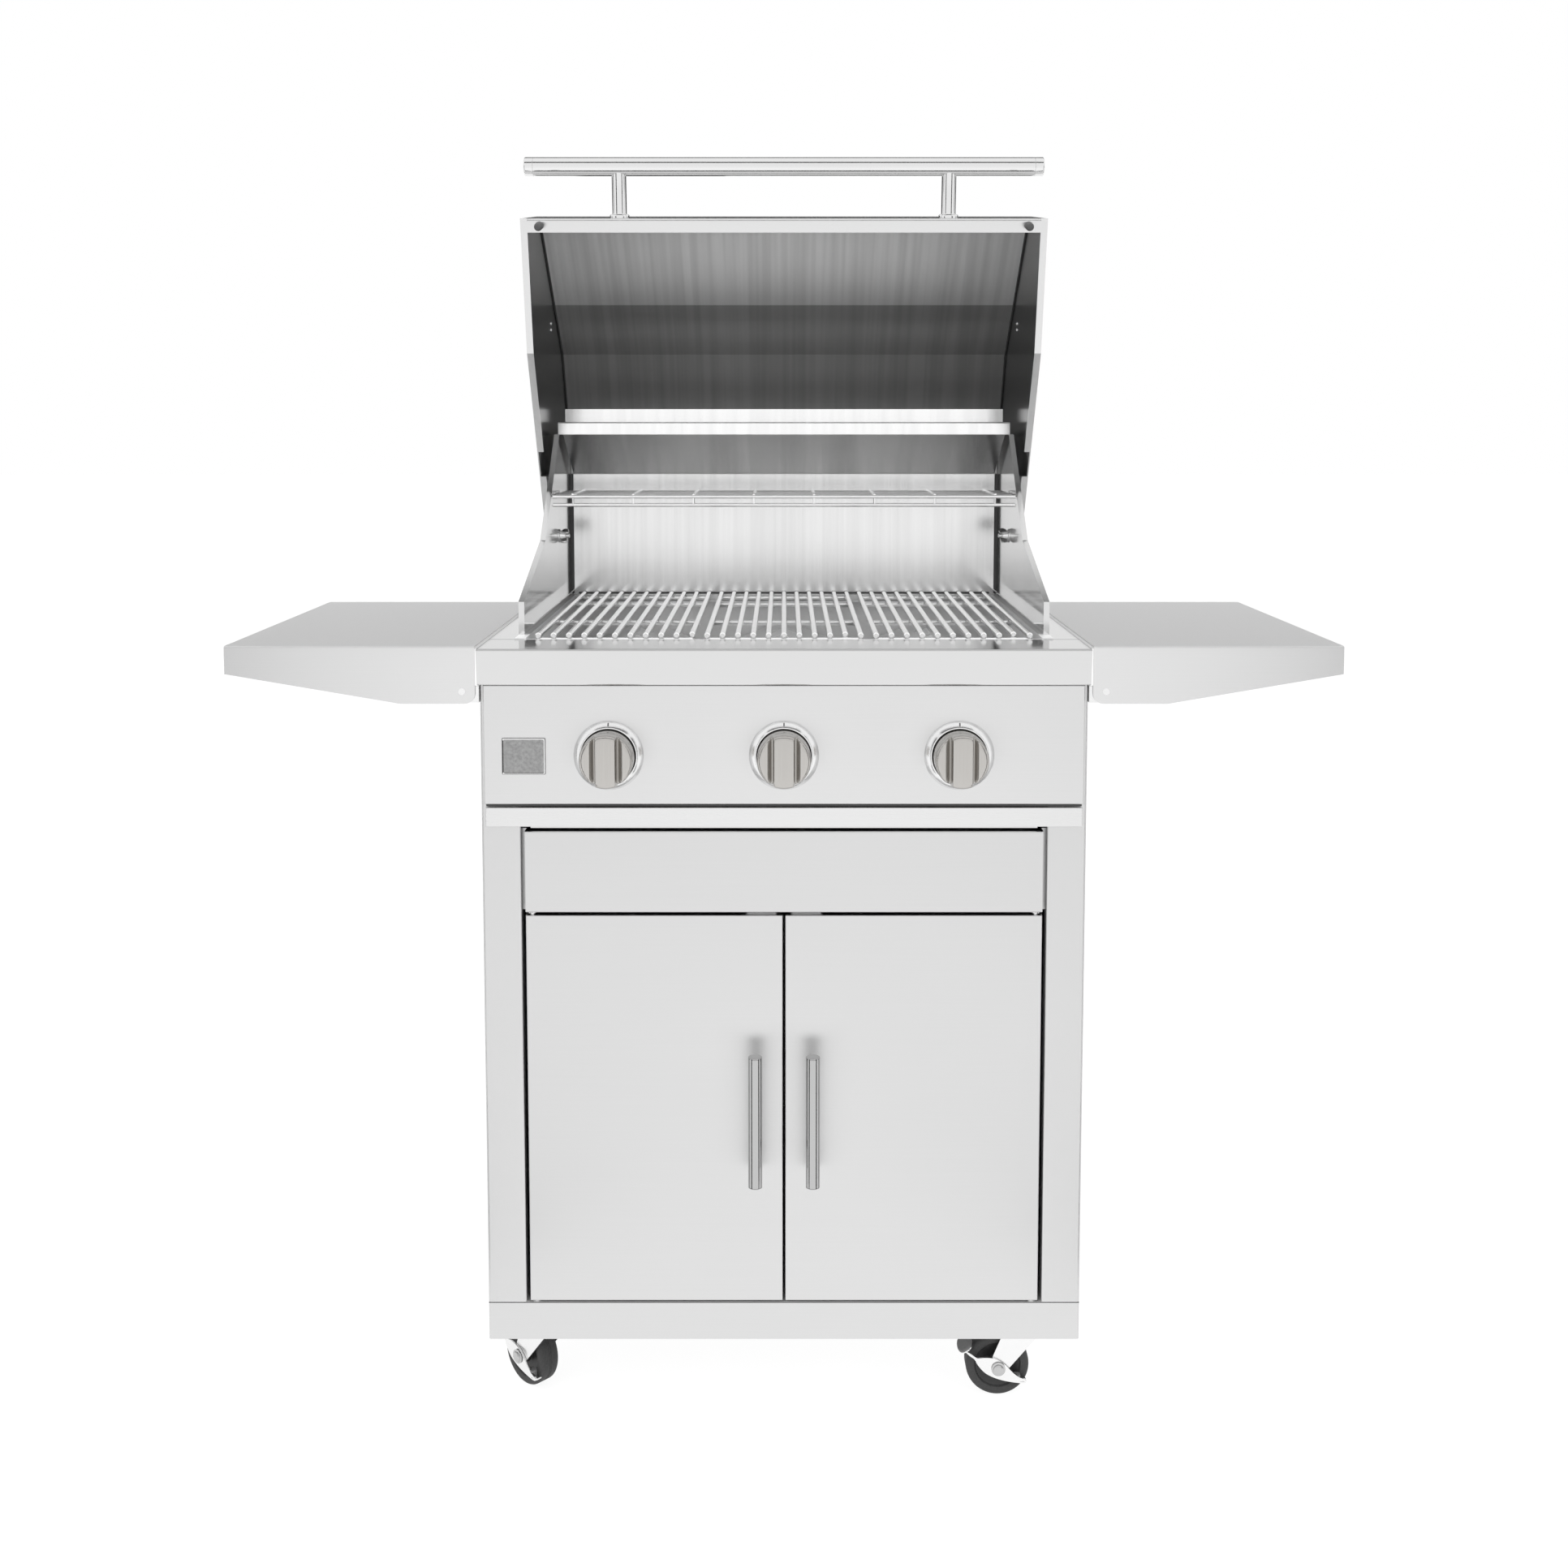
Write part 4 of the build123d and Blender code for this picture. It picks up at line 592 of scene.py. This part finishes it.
# Bare plate at the left of the control panel, with a raised bright rim
plate_middle = at(PLATE_X, PANEL_FACE, PLATE_HEIGHT)
plate_outline = rounded_outline(*PLATE_SIZE, PLATE_CORNER, plate_middle, X_AXIS, Z_AXIS)
add_piece("panel_plate", prism(plate_outline, -Y_AXIS, 1.6 * MM, 0.6 * MM), "cart",
          plate_pewter)
rim = [rounded_outline(PLATE_SIZE[0] - 2 * inset, PLATE_SIZE[1] - 2 * inset, PLATE_CORNER,
                       plate_middle - (0, rise * MM, 0), X_AXIS, Z_AXIS) for inset, rise in PLATE_RIM]
rim_points = len(rim[0])
last_row = (len(rim) - 1) * rim_points
underside = [[k, last_row + k, last_row + (k + 1) % rim_points, (k + 1) % rim_points]
             for k in range(rim_points)]
add_piece("plate_rim", (np.concatenate(rim), strip_faces(len(rim), rim_points) + underside), "cart",
          bar_steel)

# Grates and warming rack from round bars
for index, name in enumerate(("left", "center", "right")):
    first = (index * RODS - (3 * RODS - 1) / 2) * ROD_PITCH
    bars = []
    for k in range(RODS):
        start = GRATE_FRONT + (SHORT_ROD_SETBACK if k == GRATE_SHORT[name] else 0)
        x = first + k * ROD_PITCH
        bars.append(rod(at(x, start, ROD_HEIGHT), at(x, GRATE_REAR, ROD_HEIGHT), ROD_RADIUS, 14, 1.2))
    left_end, right_end = first - CROSS_OVERHANG, first + (RODS - 1) * ROD_PITCH + CROSS_OVERHANG
    cross_height = ROD_HEIGHT - CROSS_DROP
    bars += [rod(at(left_end, depth, cross_height), at(right_end, depth, cross_height), CROSS_RADIUS, 12)
             for depth in CROSS_DEPTHS]
    add_piece(f"grate_bars_{name}", joined(bars), "cart", rod_steel, [f"grate_{name}"])


def rack_rod(depth, height):
    """Rod of the warming rack, from end to end."""
    return rod(at(-RACK_HALF, depth, height), at(RACK_HALF, depth, height), RACK_ROD_RADIUS, 14)


rack = [rack_rod(RACK_FRONT + k * RACK_DEPTH / (RACK_RODS - 1), RACK_HEIGHT) for k in range(RACK_RODS)]
rack.append(rack_rod(RACK_FRONT, RACK_HEIGHT - RACK_RAIL_DROP))
cross_height = RACK_HEIGHT + RACK_ROD_RADIUS
for x in (np.arange(RACK_CROSSES) - (RACK_CROSSES - 1) / 2) * RACK_CROSS_PITCH:
    rack.append(rod(at(x, RACK_FRONT - 1, cross_height), at(x, RACK_FRONT + RACK_DEPTH + 1, cross_height),
                    RACK_CROSS_RADIUS))
    post_bottom, post_top = RACK_HEIGHT - RACK_RAIL_DROP - 0.3, RACK_HEIGHT + 0.7
    rack.append(rod(at(x, RACK_FRONT, post_bottom), at(x, RACK_FRONT, post_top), RACK_POST_RADIUS))
add_piece("rack_bars", joined(rack), "cart", rod_steel, ["warming_rack"])

# Painted shade: a dark line where the rear wall stands behind the grates, and dark lines in the joints along
# the cart's front, under the control panel and over the plinth
shade_line_behind_grates = rod(*(at(hand * 300, 556, 918.6) for hand in HANDS), radius=1.3, steps=8)
shade_strip_under_panel = thin_strip(width=682, height=2.6, corner=0.6, depth=11.2, middle_height=732.7, thickness=2)
shade_line_over_plinth = thin_strip(width=693.4, height=1.1, corner=0.4, depth=12.2, middle_height=138.8, thickness=0.62)
add_piece("front_shade_lines", joined([shade_line_behind_grates, shade_strip_under_panel, shade_line_over_plinth]), "cart", stop_rubber_and_shade)

# Dark sheets inside the back panel's two rows of vents: painted shade where the inside of the cabinet shows
# through
panel_low, panel_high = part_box("back_panel")
screen_depth = (panel_low.y - TRIM_Y) / MM
vent_rows = (panel_low.z / MM + VENT_RISE, panel_high.z / MM - VENT_DROP)
vent_shades = [thin_strip(*VENT_SHADE_SIZE, corner=2, depth=screen_depth, middle_height=height, thickness=0.8)
           for height in vent_rows]
add_piece("vent_shade_sheets", joined(vent_shades), "cart", stop_rubber_and_shade)

# Inner skins of the lid


def inset_line(corners, amount):
    """Polyline moved to its right by an amount: each corner goes along the mitre of its two runs."""
    line = np.array(corners, float)
    run = np.diff(line, axis=0)
    run /= np.linalg.norm(run, axis=1)[:, None]
    right = np.stack([run[:, 1], -run[:, 0]], 1)
    before, after = np.vstack([right[:1], right]), np.vstack([right, right[-1:]])
    mitre = before + after
    return line + amount * mitre / (1 + (before * after).sum(1))[:, None]


def lid_sheet(corners, half, near, far):
    """Bent sheet: the corner line inset by near and by far, carried across the lid from -half to half."""
    loop = np.concatenate([inset_line(corners, near), inset_line(corners, far)[::-1]])
    sides = [np.array([lid_at(d, h, x) for d, h in loop]) for x in (-half, half)]
    count = len(loop)
    faces = strip_faces(2, count)
    half_count = count // 2
    for start in (0, count):
        faces += [[start + k, start + k + 1, start + count - 2 - k, start + count - 1 - k]
                  for k in range(half_count - 1)]
    return np.concatenate(sides), faces


wrap = [LIP, BROW, ROOF_FRONT, ROOF_REAR, BACK_TOP, BACK_BOTTOM]
inner_wrap = [(LIP[0] + 0.6, LIP[1] + 6)] + wrap[1:]
liner = lid_sheet(inner_wrap, LID_HALF - 3, SHEET + LINER_GAP, SHEET + LINER_GAP + LINER_SHEET)
add_piece("lid_liner", liner, "lid", hood_liner, smooth=20)
end_outline = wrap + [EDGE_REAR, EDGE_BEND]
end_middle = np.mean(end_outline, 0)
end_outline = [tuple(end_middle + (np.array(p) - end_middle) * END_LINER_SHARE) for p in end_outline]
end_x = LID_HALF - SHEET - 0.2
ends = [prism([lid_at(*p, hand * end_x) for p in end_outline], -hand * X_AXIS, LINER_SHEET * MM)
        for hand in HANDS]
add_piece("lid_end_liners", joined(ends), "lid", end_liner, smooth=20)

# Dark lines along the lid's inner creases, where its wrap meets its end plates: painted shade in those creases
crease_line = inset_line(wrap, SHEET + 1.6)[1:5]
crease_shades = []
for hand in HANDS:
    points = [lid_at(d, h, hand * (LID_HALF - 3.4)) for d, h in crease_line]
    crease_shades += [rod(a, b, 1.3, 8, 0.4) for a, b in zip(points, points[1:])]
add_piece("lid_crease_shades", joined(crease_shades), "lid", stop_rubber_and_shade)

# Rubber stops under the lip
stop_foot = (LIP[0] + LIP_FLANGE / 2, LIP[1])
stops = [turned(STOP_PROFILE, lid_at(*stop_foot, hand * STOP_X), -lid_way(0, 1), 24) for hand in HANDS]
add_piece("lip_stops", joined(stops), "lid", stop_rubber_and_shade, ["lid_bumpers"])

# Wing nuts on the wings: washer, hub, stud end and two round wings


def oval(centre, across, half_across, up, half_up, steps=20, power=2.0):
    """Oval outline: centre + a sgn(cos t)|cos t|^(2/p) across + b sgn(sin t)|sin t|^(2/p) up."""
    angle = np.arange(steps) * 2 * pi / steps
    flat_x = np.sign(np.cos(angle)) * np.abs(np.cos(angle)) ** (2 / power) * half_across
    flat_y = np.sign(np.sin(angle)) * np.abs(np.sin(angle)) ** (2 / power) * half_up
    return centre + MM * (flat_x[:, None] * across + flat_y[:, None] * up)


def wing_nut(hand):
    """Lathe parts on the nut's axis and two oval plates standing out along a tilted line."""
    foot = at(hand * WING_FACE, *NUT_SPOT)
    axis = -hand * X_AXIS
    radial = cos(radians(NUT_TILT)) * Y_AXIS + sin(radians(NUT_TILT)) * Z_AXIS
    side = np.cross(axis, radial)
    pieces = [turned([(0, 9.5), (1.1, 9.5), (1.5, 9)], foot, axis, 28),
              turned([(1.4, 7), (6.4, 5.7), (8.6, 5.3), (9.1, 4.6)], foot, axis, 24),
              turned([(9, 3), (13.4, 3), (14, 2.4)], foot, axis, 16)]
    for way in HANDS:
        middle = foot + axis * 7 * MM + radial * way * 9.6 * MM - side * 1.3 * MM
        pieces.append(prism(oval(middle, radial, 5.4, axis, 5.2), side, 2.6 * MM, 0.9 * MM))
    return joined(pieces)


nuts = [wing_nut(hand) for hand in HANDS]
add_piece("bracket_nuts", joined(nuts), "cart", zinc, ["rotisserie_nuts"])


def button_head(place, way, radius):
    """Screw head: a lathe dome of the radius with a round socket sunk in its middle."""
    shape = np.array([(0, 1), (0.2, 1), (0.42, 0.88), (0.56, 0.6), (0.58, 0.42), (0.2, 0.38), (0.2, 0.05)])
    return turned(shape * radius, place, way, 16)


# Dark sheets that close the gaps between the wings and the rear wall: painted shade in those gaps
gap_shade_size = (GAP_SHADE_SPAN[1] - GAP_SHADE_SPAN[0], GAP_SHADE_HEIGHTS[1] - GAP_SHADE_HEIGHTS[0])
gap_shades = []
for hand in HANDS:
    inner, outer = (at(hand * x, GAP_SHADE_DEPTH, np.mean(GAP_SHADE_HEIGHTS)) for x in GAP_SHADE_SPAN)
    gap_shade = rounded_outline(*gap_shade_size, 1.2, (inner + outer) / 2, X_AXIS, Z_AXIS, 4)
    gap_shades.append(prism(gap_shade, Y_AXIS, 3 * MM, 0.4 * MM))
add_piece("wall_gap_shades", joined(gap_shades), "cart", stop_rubber_and_shade)

# Screws that hold the back panel, the rear shell and the side panels
screws = [button_head(at(hand * 316, BACK_SCREW_DEPTH, z), Y_AXIS, SCREW_RADIUS)
          for hand in HANDS for z in (160, 390, 620, 850)]
screws += [button_head(at(x, BACK_SCREW_DEPTH, z), Y_AXIS, SCREW_RADIUS)
           for x in (-150, 0, 150) for z in (160, 850)]
screws += [button_head(at(hand * 302, SHELL_SCREW_DEPTH, z), Y_AXIS, SMALL_SCREW_RADIUS)
           for hand in HANDS for z in (932, 1040, 1136)]
screws += [button_head(at(hand * SIDE_FACE, SIDE_SCREW_DEPTH, z), hand * X_AXIS, SMALL_SCREW_RADIUS)
           for hand in HANDS for z in (170, 410, 650)]
add_piece("panel_screws", joined(screws), "cart", bolt_steel)

# Rivets on the lid's end walls
rivets = [button_head(lid_at(*spot, hand * (LID_HALF - SHEET - 0.7)), -hand * X_AXIS, RIVET_RADIUS)
          for hand in HANDS for spot in RIVET_SPOTS]
add_piece("lid_rivets", joined(rivets), "lid", zinc)

# Castors: tyre, hub and swivel cup around the CAD forks
tyre_arc = np.stack([TYRE_HALF - TYRE_SHOULDER + TYRE_SHOULDER * np.sin(QUARTER_TURN),
                     WHEEL_RADIUS - TYRE_SHOULDER + TYRE_SHOULDER * np.cos(QUARTER_TURN)], 1)
tyre_edge = [tuple(p) for p in tyre_arc]
tyre_profile = mirrored(tyre_edge) + TREAD + tyre_edge + TYRE_SEAT + mirrored(TYRE_SEAT)
hub_profile = mirrored(HUB_SIDE) + HUB_SIDE


def smooth_loop(points, steps=5):
    """Closed Catmull-Rom curve through the points: cubic in t between each pair, with neighbours' slopes."""
    p1 = np.array(points, float)
    p0, p2, p3 = np.roll(p1, 1, 0), np.roll(p1, -1, 0), np.roll(p1, -2, 0)
    t = (np.arange(steps) / steps)[None, :, None]
    p0, p1, p2, p3 = (p[:, None, :] for p in (p0, p1, p2, p3))
    curve = p1 + 0.5 * t * (p2 - p0 + t * (2 * p0 - 5 * p1 + 4 * p2 - p3 + t * (3 * (p1 - p2) + p3 - p0)))
    return curve.reshape(-1, 2)


def add_brake(name, spot, ahead, across):
    """Foot brake: a crescent plate beside the fork, an oval pedal over the wheel and a stop pad at its end."""
    edge = smooth_loop(LEVER_EDGE) * MM
    start = (LEG_OUTER + 0.5) * MM
    outline = spot + edge[:, :1] * ahead + edge[:, 1:] * Z_AXIS + start * across
    crescent = prism(outline, across, LEVER_SHEET * MM, 0.6 * MM)
    middle = spot + MM * (PEDAL_MIDDLE[0] * ahead + PEDAL_MIDDLE[1] * Z_AXIS + 4 * across)
    along = PEDAL_WAY[0] * ahead + PEDAL_WAY[1] * Z_AXIS
    up = -PEDAL_WAY[1] * ahead + PEDAL_WAY[0] * Z_AXIS
    pedal = prism(oval(middle - up * 2.4 * MM, across, 17, along, 9.4, 32, 2.6), up, 1.8 * MM, 0.5 * MM)
    tip = spot + MM * (LEVER_TIP[0] * ahead + LEVER_TIP[1] * Z_AXIS) + start * across
    tab = prism(oval(tip - across * 3 * MM, ahead, 5.2, across, 6, 20, 3), Z_AXIS, 1.8 * MM, 0.5 * MM)
    add_piece(f"brake_lever_{name}", joined([crescent, pedal, tab]), f"brake_{name}", zinc,
              [f"castor_brake_{name}"])
    cover = prism(oval(middle - up * 0.6 * MM, across, 17.6, along, 10, 32, 2.4), up, 2.4 * MM, 1.1 * MM)
    block_middle = tip + MM * (-7.5 * ahead + 1.6 * Z_AXIS) - across * 3 * MM
    block = prism(oval(block_middle, ahead, 5.5, across, 5, 20, 4), Z_AXIS, 6.5 * MM, 0.8 * MM)
    add_piece(f"brake_pads_{name}", joined([cover, block]), f"brake_{name}", pedal_plastic)


for name, (x, depth, turn) in CASTORS.items():
    braked = name.startswith("front")
    ahead = np.array([cos(radians(turn)), sin(radians(turn)), 0])
    across = np.array([sin(radians(turn)), -cos(radians(turn)), 0])
    axle = at(x, depth, WHEEL_RADIUS) - ahead * CASTOR_TRAIL * MM
    tyre = hoop(tyre_profile, axle, across, 64)
    add_piece(f"tyre_{name}", tyre, f"wheel_{name}", tyre_rubber, [f"castor_wheel_{name}"])
    hub = turned(hub_profile, axle, across, 48)
    add_piece(f"hub_{name}", hub, f"wheel_{name}", hub_plastic)
    cup = turned(SWIVEL_CUP, at(x, depth, 0), Z_AXIS, 40)
    add_piece(f"swivel_cup_{name}", cup, f"castor_{name}", zinc)
    head_start = LEG_OUTER + (LEVER_SPACE if braked else 0)
    axle_bolts = [turned(AXLE_NUT, axle - across * LEG_OUTER * MM, -across, 6),
                  turned(AXLE_HEAD, axle + across * head_start * MM, across, 28)]
    add_piece(f"axle_bolts_{name}", joined(axle_bolts), f"castor_{name}", bolt_steel)
    corners = [(x + side * PLATE_BOLT_OFFSET, depth + way * PLATE_BOLT_OFFSET)
               for side in HANDS for way in HANDS]
    plate_bolts = [turned(PLATE_BOLT, at(*corner, PLATE_UNDER), -Z_AXIS, 6) for corner in corners]
    add_piece(f"plate_bolts_{name}", joined(plate_bolts), "cart", bolt_steel)
    if braked:
        add_brake(name, at(x, depth, 0), ahead, across)

# Floor, light and camera


def studio_mix(tree, lit, shown):
    """Camera, glossy and see-through rays meet the shown shader, all others the lit one."""
    make, link = tree.nodes.new, tree.links.new
    path = make("ShaderNodeLightPath")
    either, any_of_three = make("ShaderNodeMath"), make("ShaderNodeMath")
    for adder in (either, any_of_three):
        adder.operation, adder.use_clamp = "ADD", True
    mixed = make("ShaderNodeMixShader")
    link(path.outputs["Is Camera Ray"], either.inputs[0])
    link(path.outputs["Is Glossy Ray"], either.inputs[1])
    link(either.outputs[0], any_of_three.inputs[0])
    link(path.outputs["Is Transmission Ray"], any_of_three.inputs[1])
    link(any_of_three.outputs[0], mixed.inputs["Fac"])
    link(lit, mixed.inputs[1])
    link(shown, mixed.inputs[2])
    return mixed.outputs[0]


world = bpy.data.worlds.new("studio")
bpy.context.scene.world = world
world.use_nodes = True
tree = world.node_tree
lit = tree.nodes["Background"]
lit.inputs["Color"].default_value = grey(1)
lit.inputs["Strength"].default_value = WORLD_LIGHT
shown = tree.nodes.new("ShaderNodeBackground")
shown.inputs["Color"].default_value = grey(1)
shown.inputs["Strength"].default_value = 1.0
world_mix = studio_mix(tree, lit.outputs[0], shown.outputs[0])
tree.links.new(world_mix, tree.nodes["World Output"].inputs["Surface"])

floor_mesh = bpy.data.meshes.new("floor")
floor_corners = [(-FLOOR_REACH, -FLOOR_REACH, 0), (FLOOR_REACH, -FLOOR_REACH, 0),
                 (FLOOR_REACH, FLOOR_REACH, 0), (-FLOOR_REACH, FLOOR_REACH, 0)]
floor_mesh.from_pydata(floor_corners, [], [(0, 1, 2, 3)])
floor = bpy.data.objects.new("floor", floor_mesh)
bpy.context.scene.collection.objects.link(floor)
paper = bpy.data.materials.new("white_floor")
paper.use_nodes = True
tree = paper.node_tree
matt = tree.nodes["Principled BSDF"]
matt.inputs["Base Color"].default_value = grey(FLOOR_GREY)
matt.inputs["Roughness"].default_value = 0.9
matt.inputs["Specular IOR Level"].default_value = 0.0
glow = tree.nodes.new("ShaderNodeEmission")
glow.inputs["Strength"].default_value = FLOOR_GLOW
soft = tree.nodes.new("ShaderNodeMixShader")
soft.inputs["Fac"].default_value = FLOOR_GLOW_SHARE
tree.links.new(matt.outputs[0], soft.inputs[1])
tree.links.new(glow.outputs[0], soft.inputs[2])
paper_mix = studio_mix(tree, matt.outputs[0], soft.outputs[0])
tree.links.new(paper_mix, tree.nodes["Material Output"].inputs["Surface"])
floor_mesh.materials.append(paper)


def lamp(name, place, aim, size, power):
    """Square soft lamp at a place, aimed at a point, unseen in reflections."""
    light = bpy.data.lights.new(name, "AREA")
    light.energy, light.size = power, size
    holder = bpy.data.objects.new(name, light)
    bpy.context.scene.collection.objects.link(holder)
    holder.location = place
    holder.rotation_euler = (Vector(aim) - Vector(place)).to_track_quat("-Z", "Y").to_euler()
    holder.visible_glossy = False


lamp("key", place=(-2.2, -2.6, 3.2), aim=(0, 0, 0.8), size=2.5, power=60)
lamp("fill", place=(2.6, -2.2, 2.2), aim=(0, 0, 0.8), size=2.5, power=30)
lamp("over_grates", place=(0, -0.75, 2.9), aim=(0, -0.02, 0.9), size=1.0, power=22)


def studio_flag(name, corners):
    """Dark board off to one side that only reflections see: metal edges are drawn by it."""
    mesh = bpy.data.meshes.new(name)
    mesh.from_pydata(corners, [], [(0, 1, 2, 3)])
    board = bpy.data.objects.new(name, mesh)
    bpy.context.scene.collection.objects.link(board)
    black = bpy.data.materials.new(name)
    black.use_nodes = True
    shader = black.node_tree.nodes["Principled BSDF"]
    shader.inputs["Base Color"].default_value = grey(FLAG_GREY)
    shader.inputs["Roughness"].default_value = 0.9
    mesh.materials.append(black)
    board.visible_camera = board.visible_diffuse = board.visible_shadow = board.visible_transmission = False


def upright(start, end, foot, top):
    """Corners of an upright board over a line on the floor, from a foot height to a top height."""
    return [(*start, foot), (*end, foot), (*end, top), (*start, top)]


for side, hand in ((-1, "left"), (1, "right")):
    studio_flag(f"flag_{hand}", upright((side * 1.05, -1.25), (side * 1.25, -0.95), 0.0, 1.7))
    studio_flag(f"floor_card_{hand}", [(side * x, y, 0.004) for x, y in FLOOR_CARD])
    studio_flag(f"side_flag_{hand}", upright((side * 1.25, 0.02), (side * 1.25, 0.3), 0.0, 1.6))
studio_flag("rear_flag", upright((-0.42, 1.25), (-0.12, 1.25), 0.0, 1.6))
studio_flag("flag_over", [(-2, -2.0, 3.0), (2, -2.0, 3.0), (2, -1.4, 3.2), (-2, -1.4, 3.2)])
studio_flag("flag_back", upright((-4, 2.2), (4, 2.2), 1.62, 2.2))
studio_flag("flag_high", upright((-2.5, 2.2), (2.5, 2.2), 3.1, 5.3))

camera = bpy.data.cameras.new("camera")
camera.lens, camera.sensor_width = CAMERA_LENS, SENSOR_WIDTH
camera.shift_y = CAMERA_SHIFT
holder = bpy.data.objects.new("camera", camera)
bpy.context.scene.collection.objects.link(holder)
holder.location = at(0, -CAMERA_AHEAD, CAMERA_HEIGHT)
holder.rotation_euler = (radians(90 - CAMERA_PITCH), 0, 0)
bpy.context.scene.camera = holder
bpy.context.scene.view_settings.view_transform = "Standard"
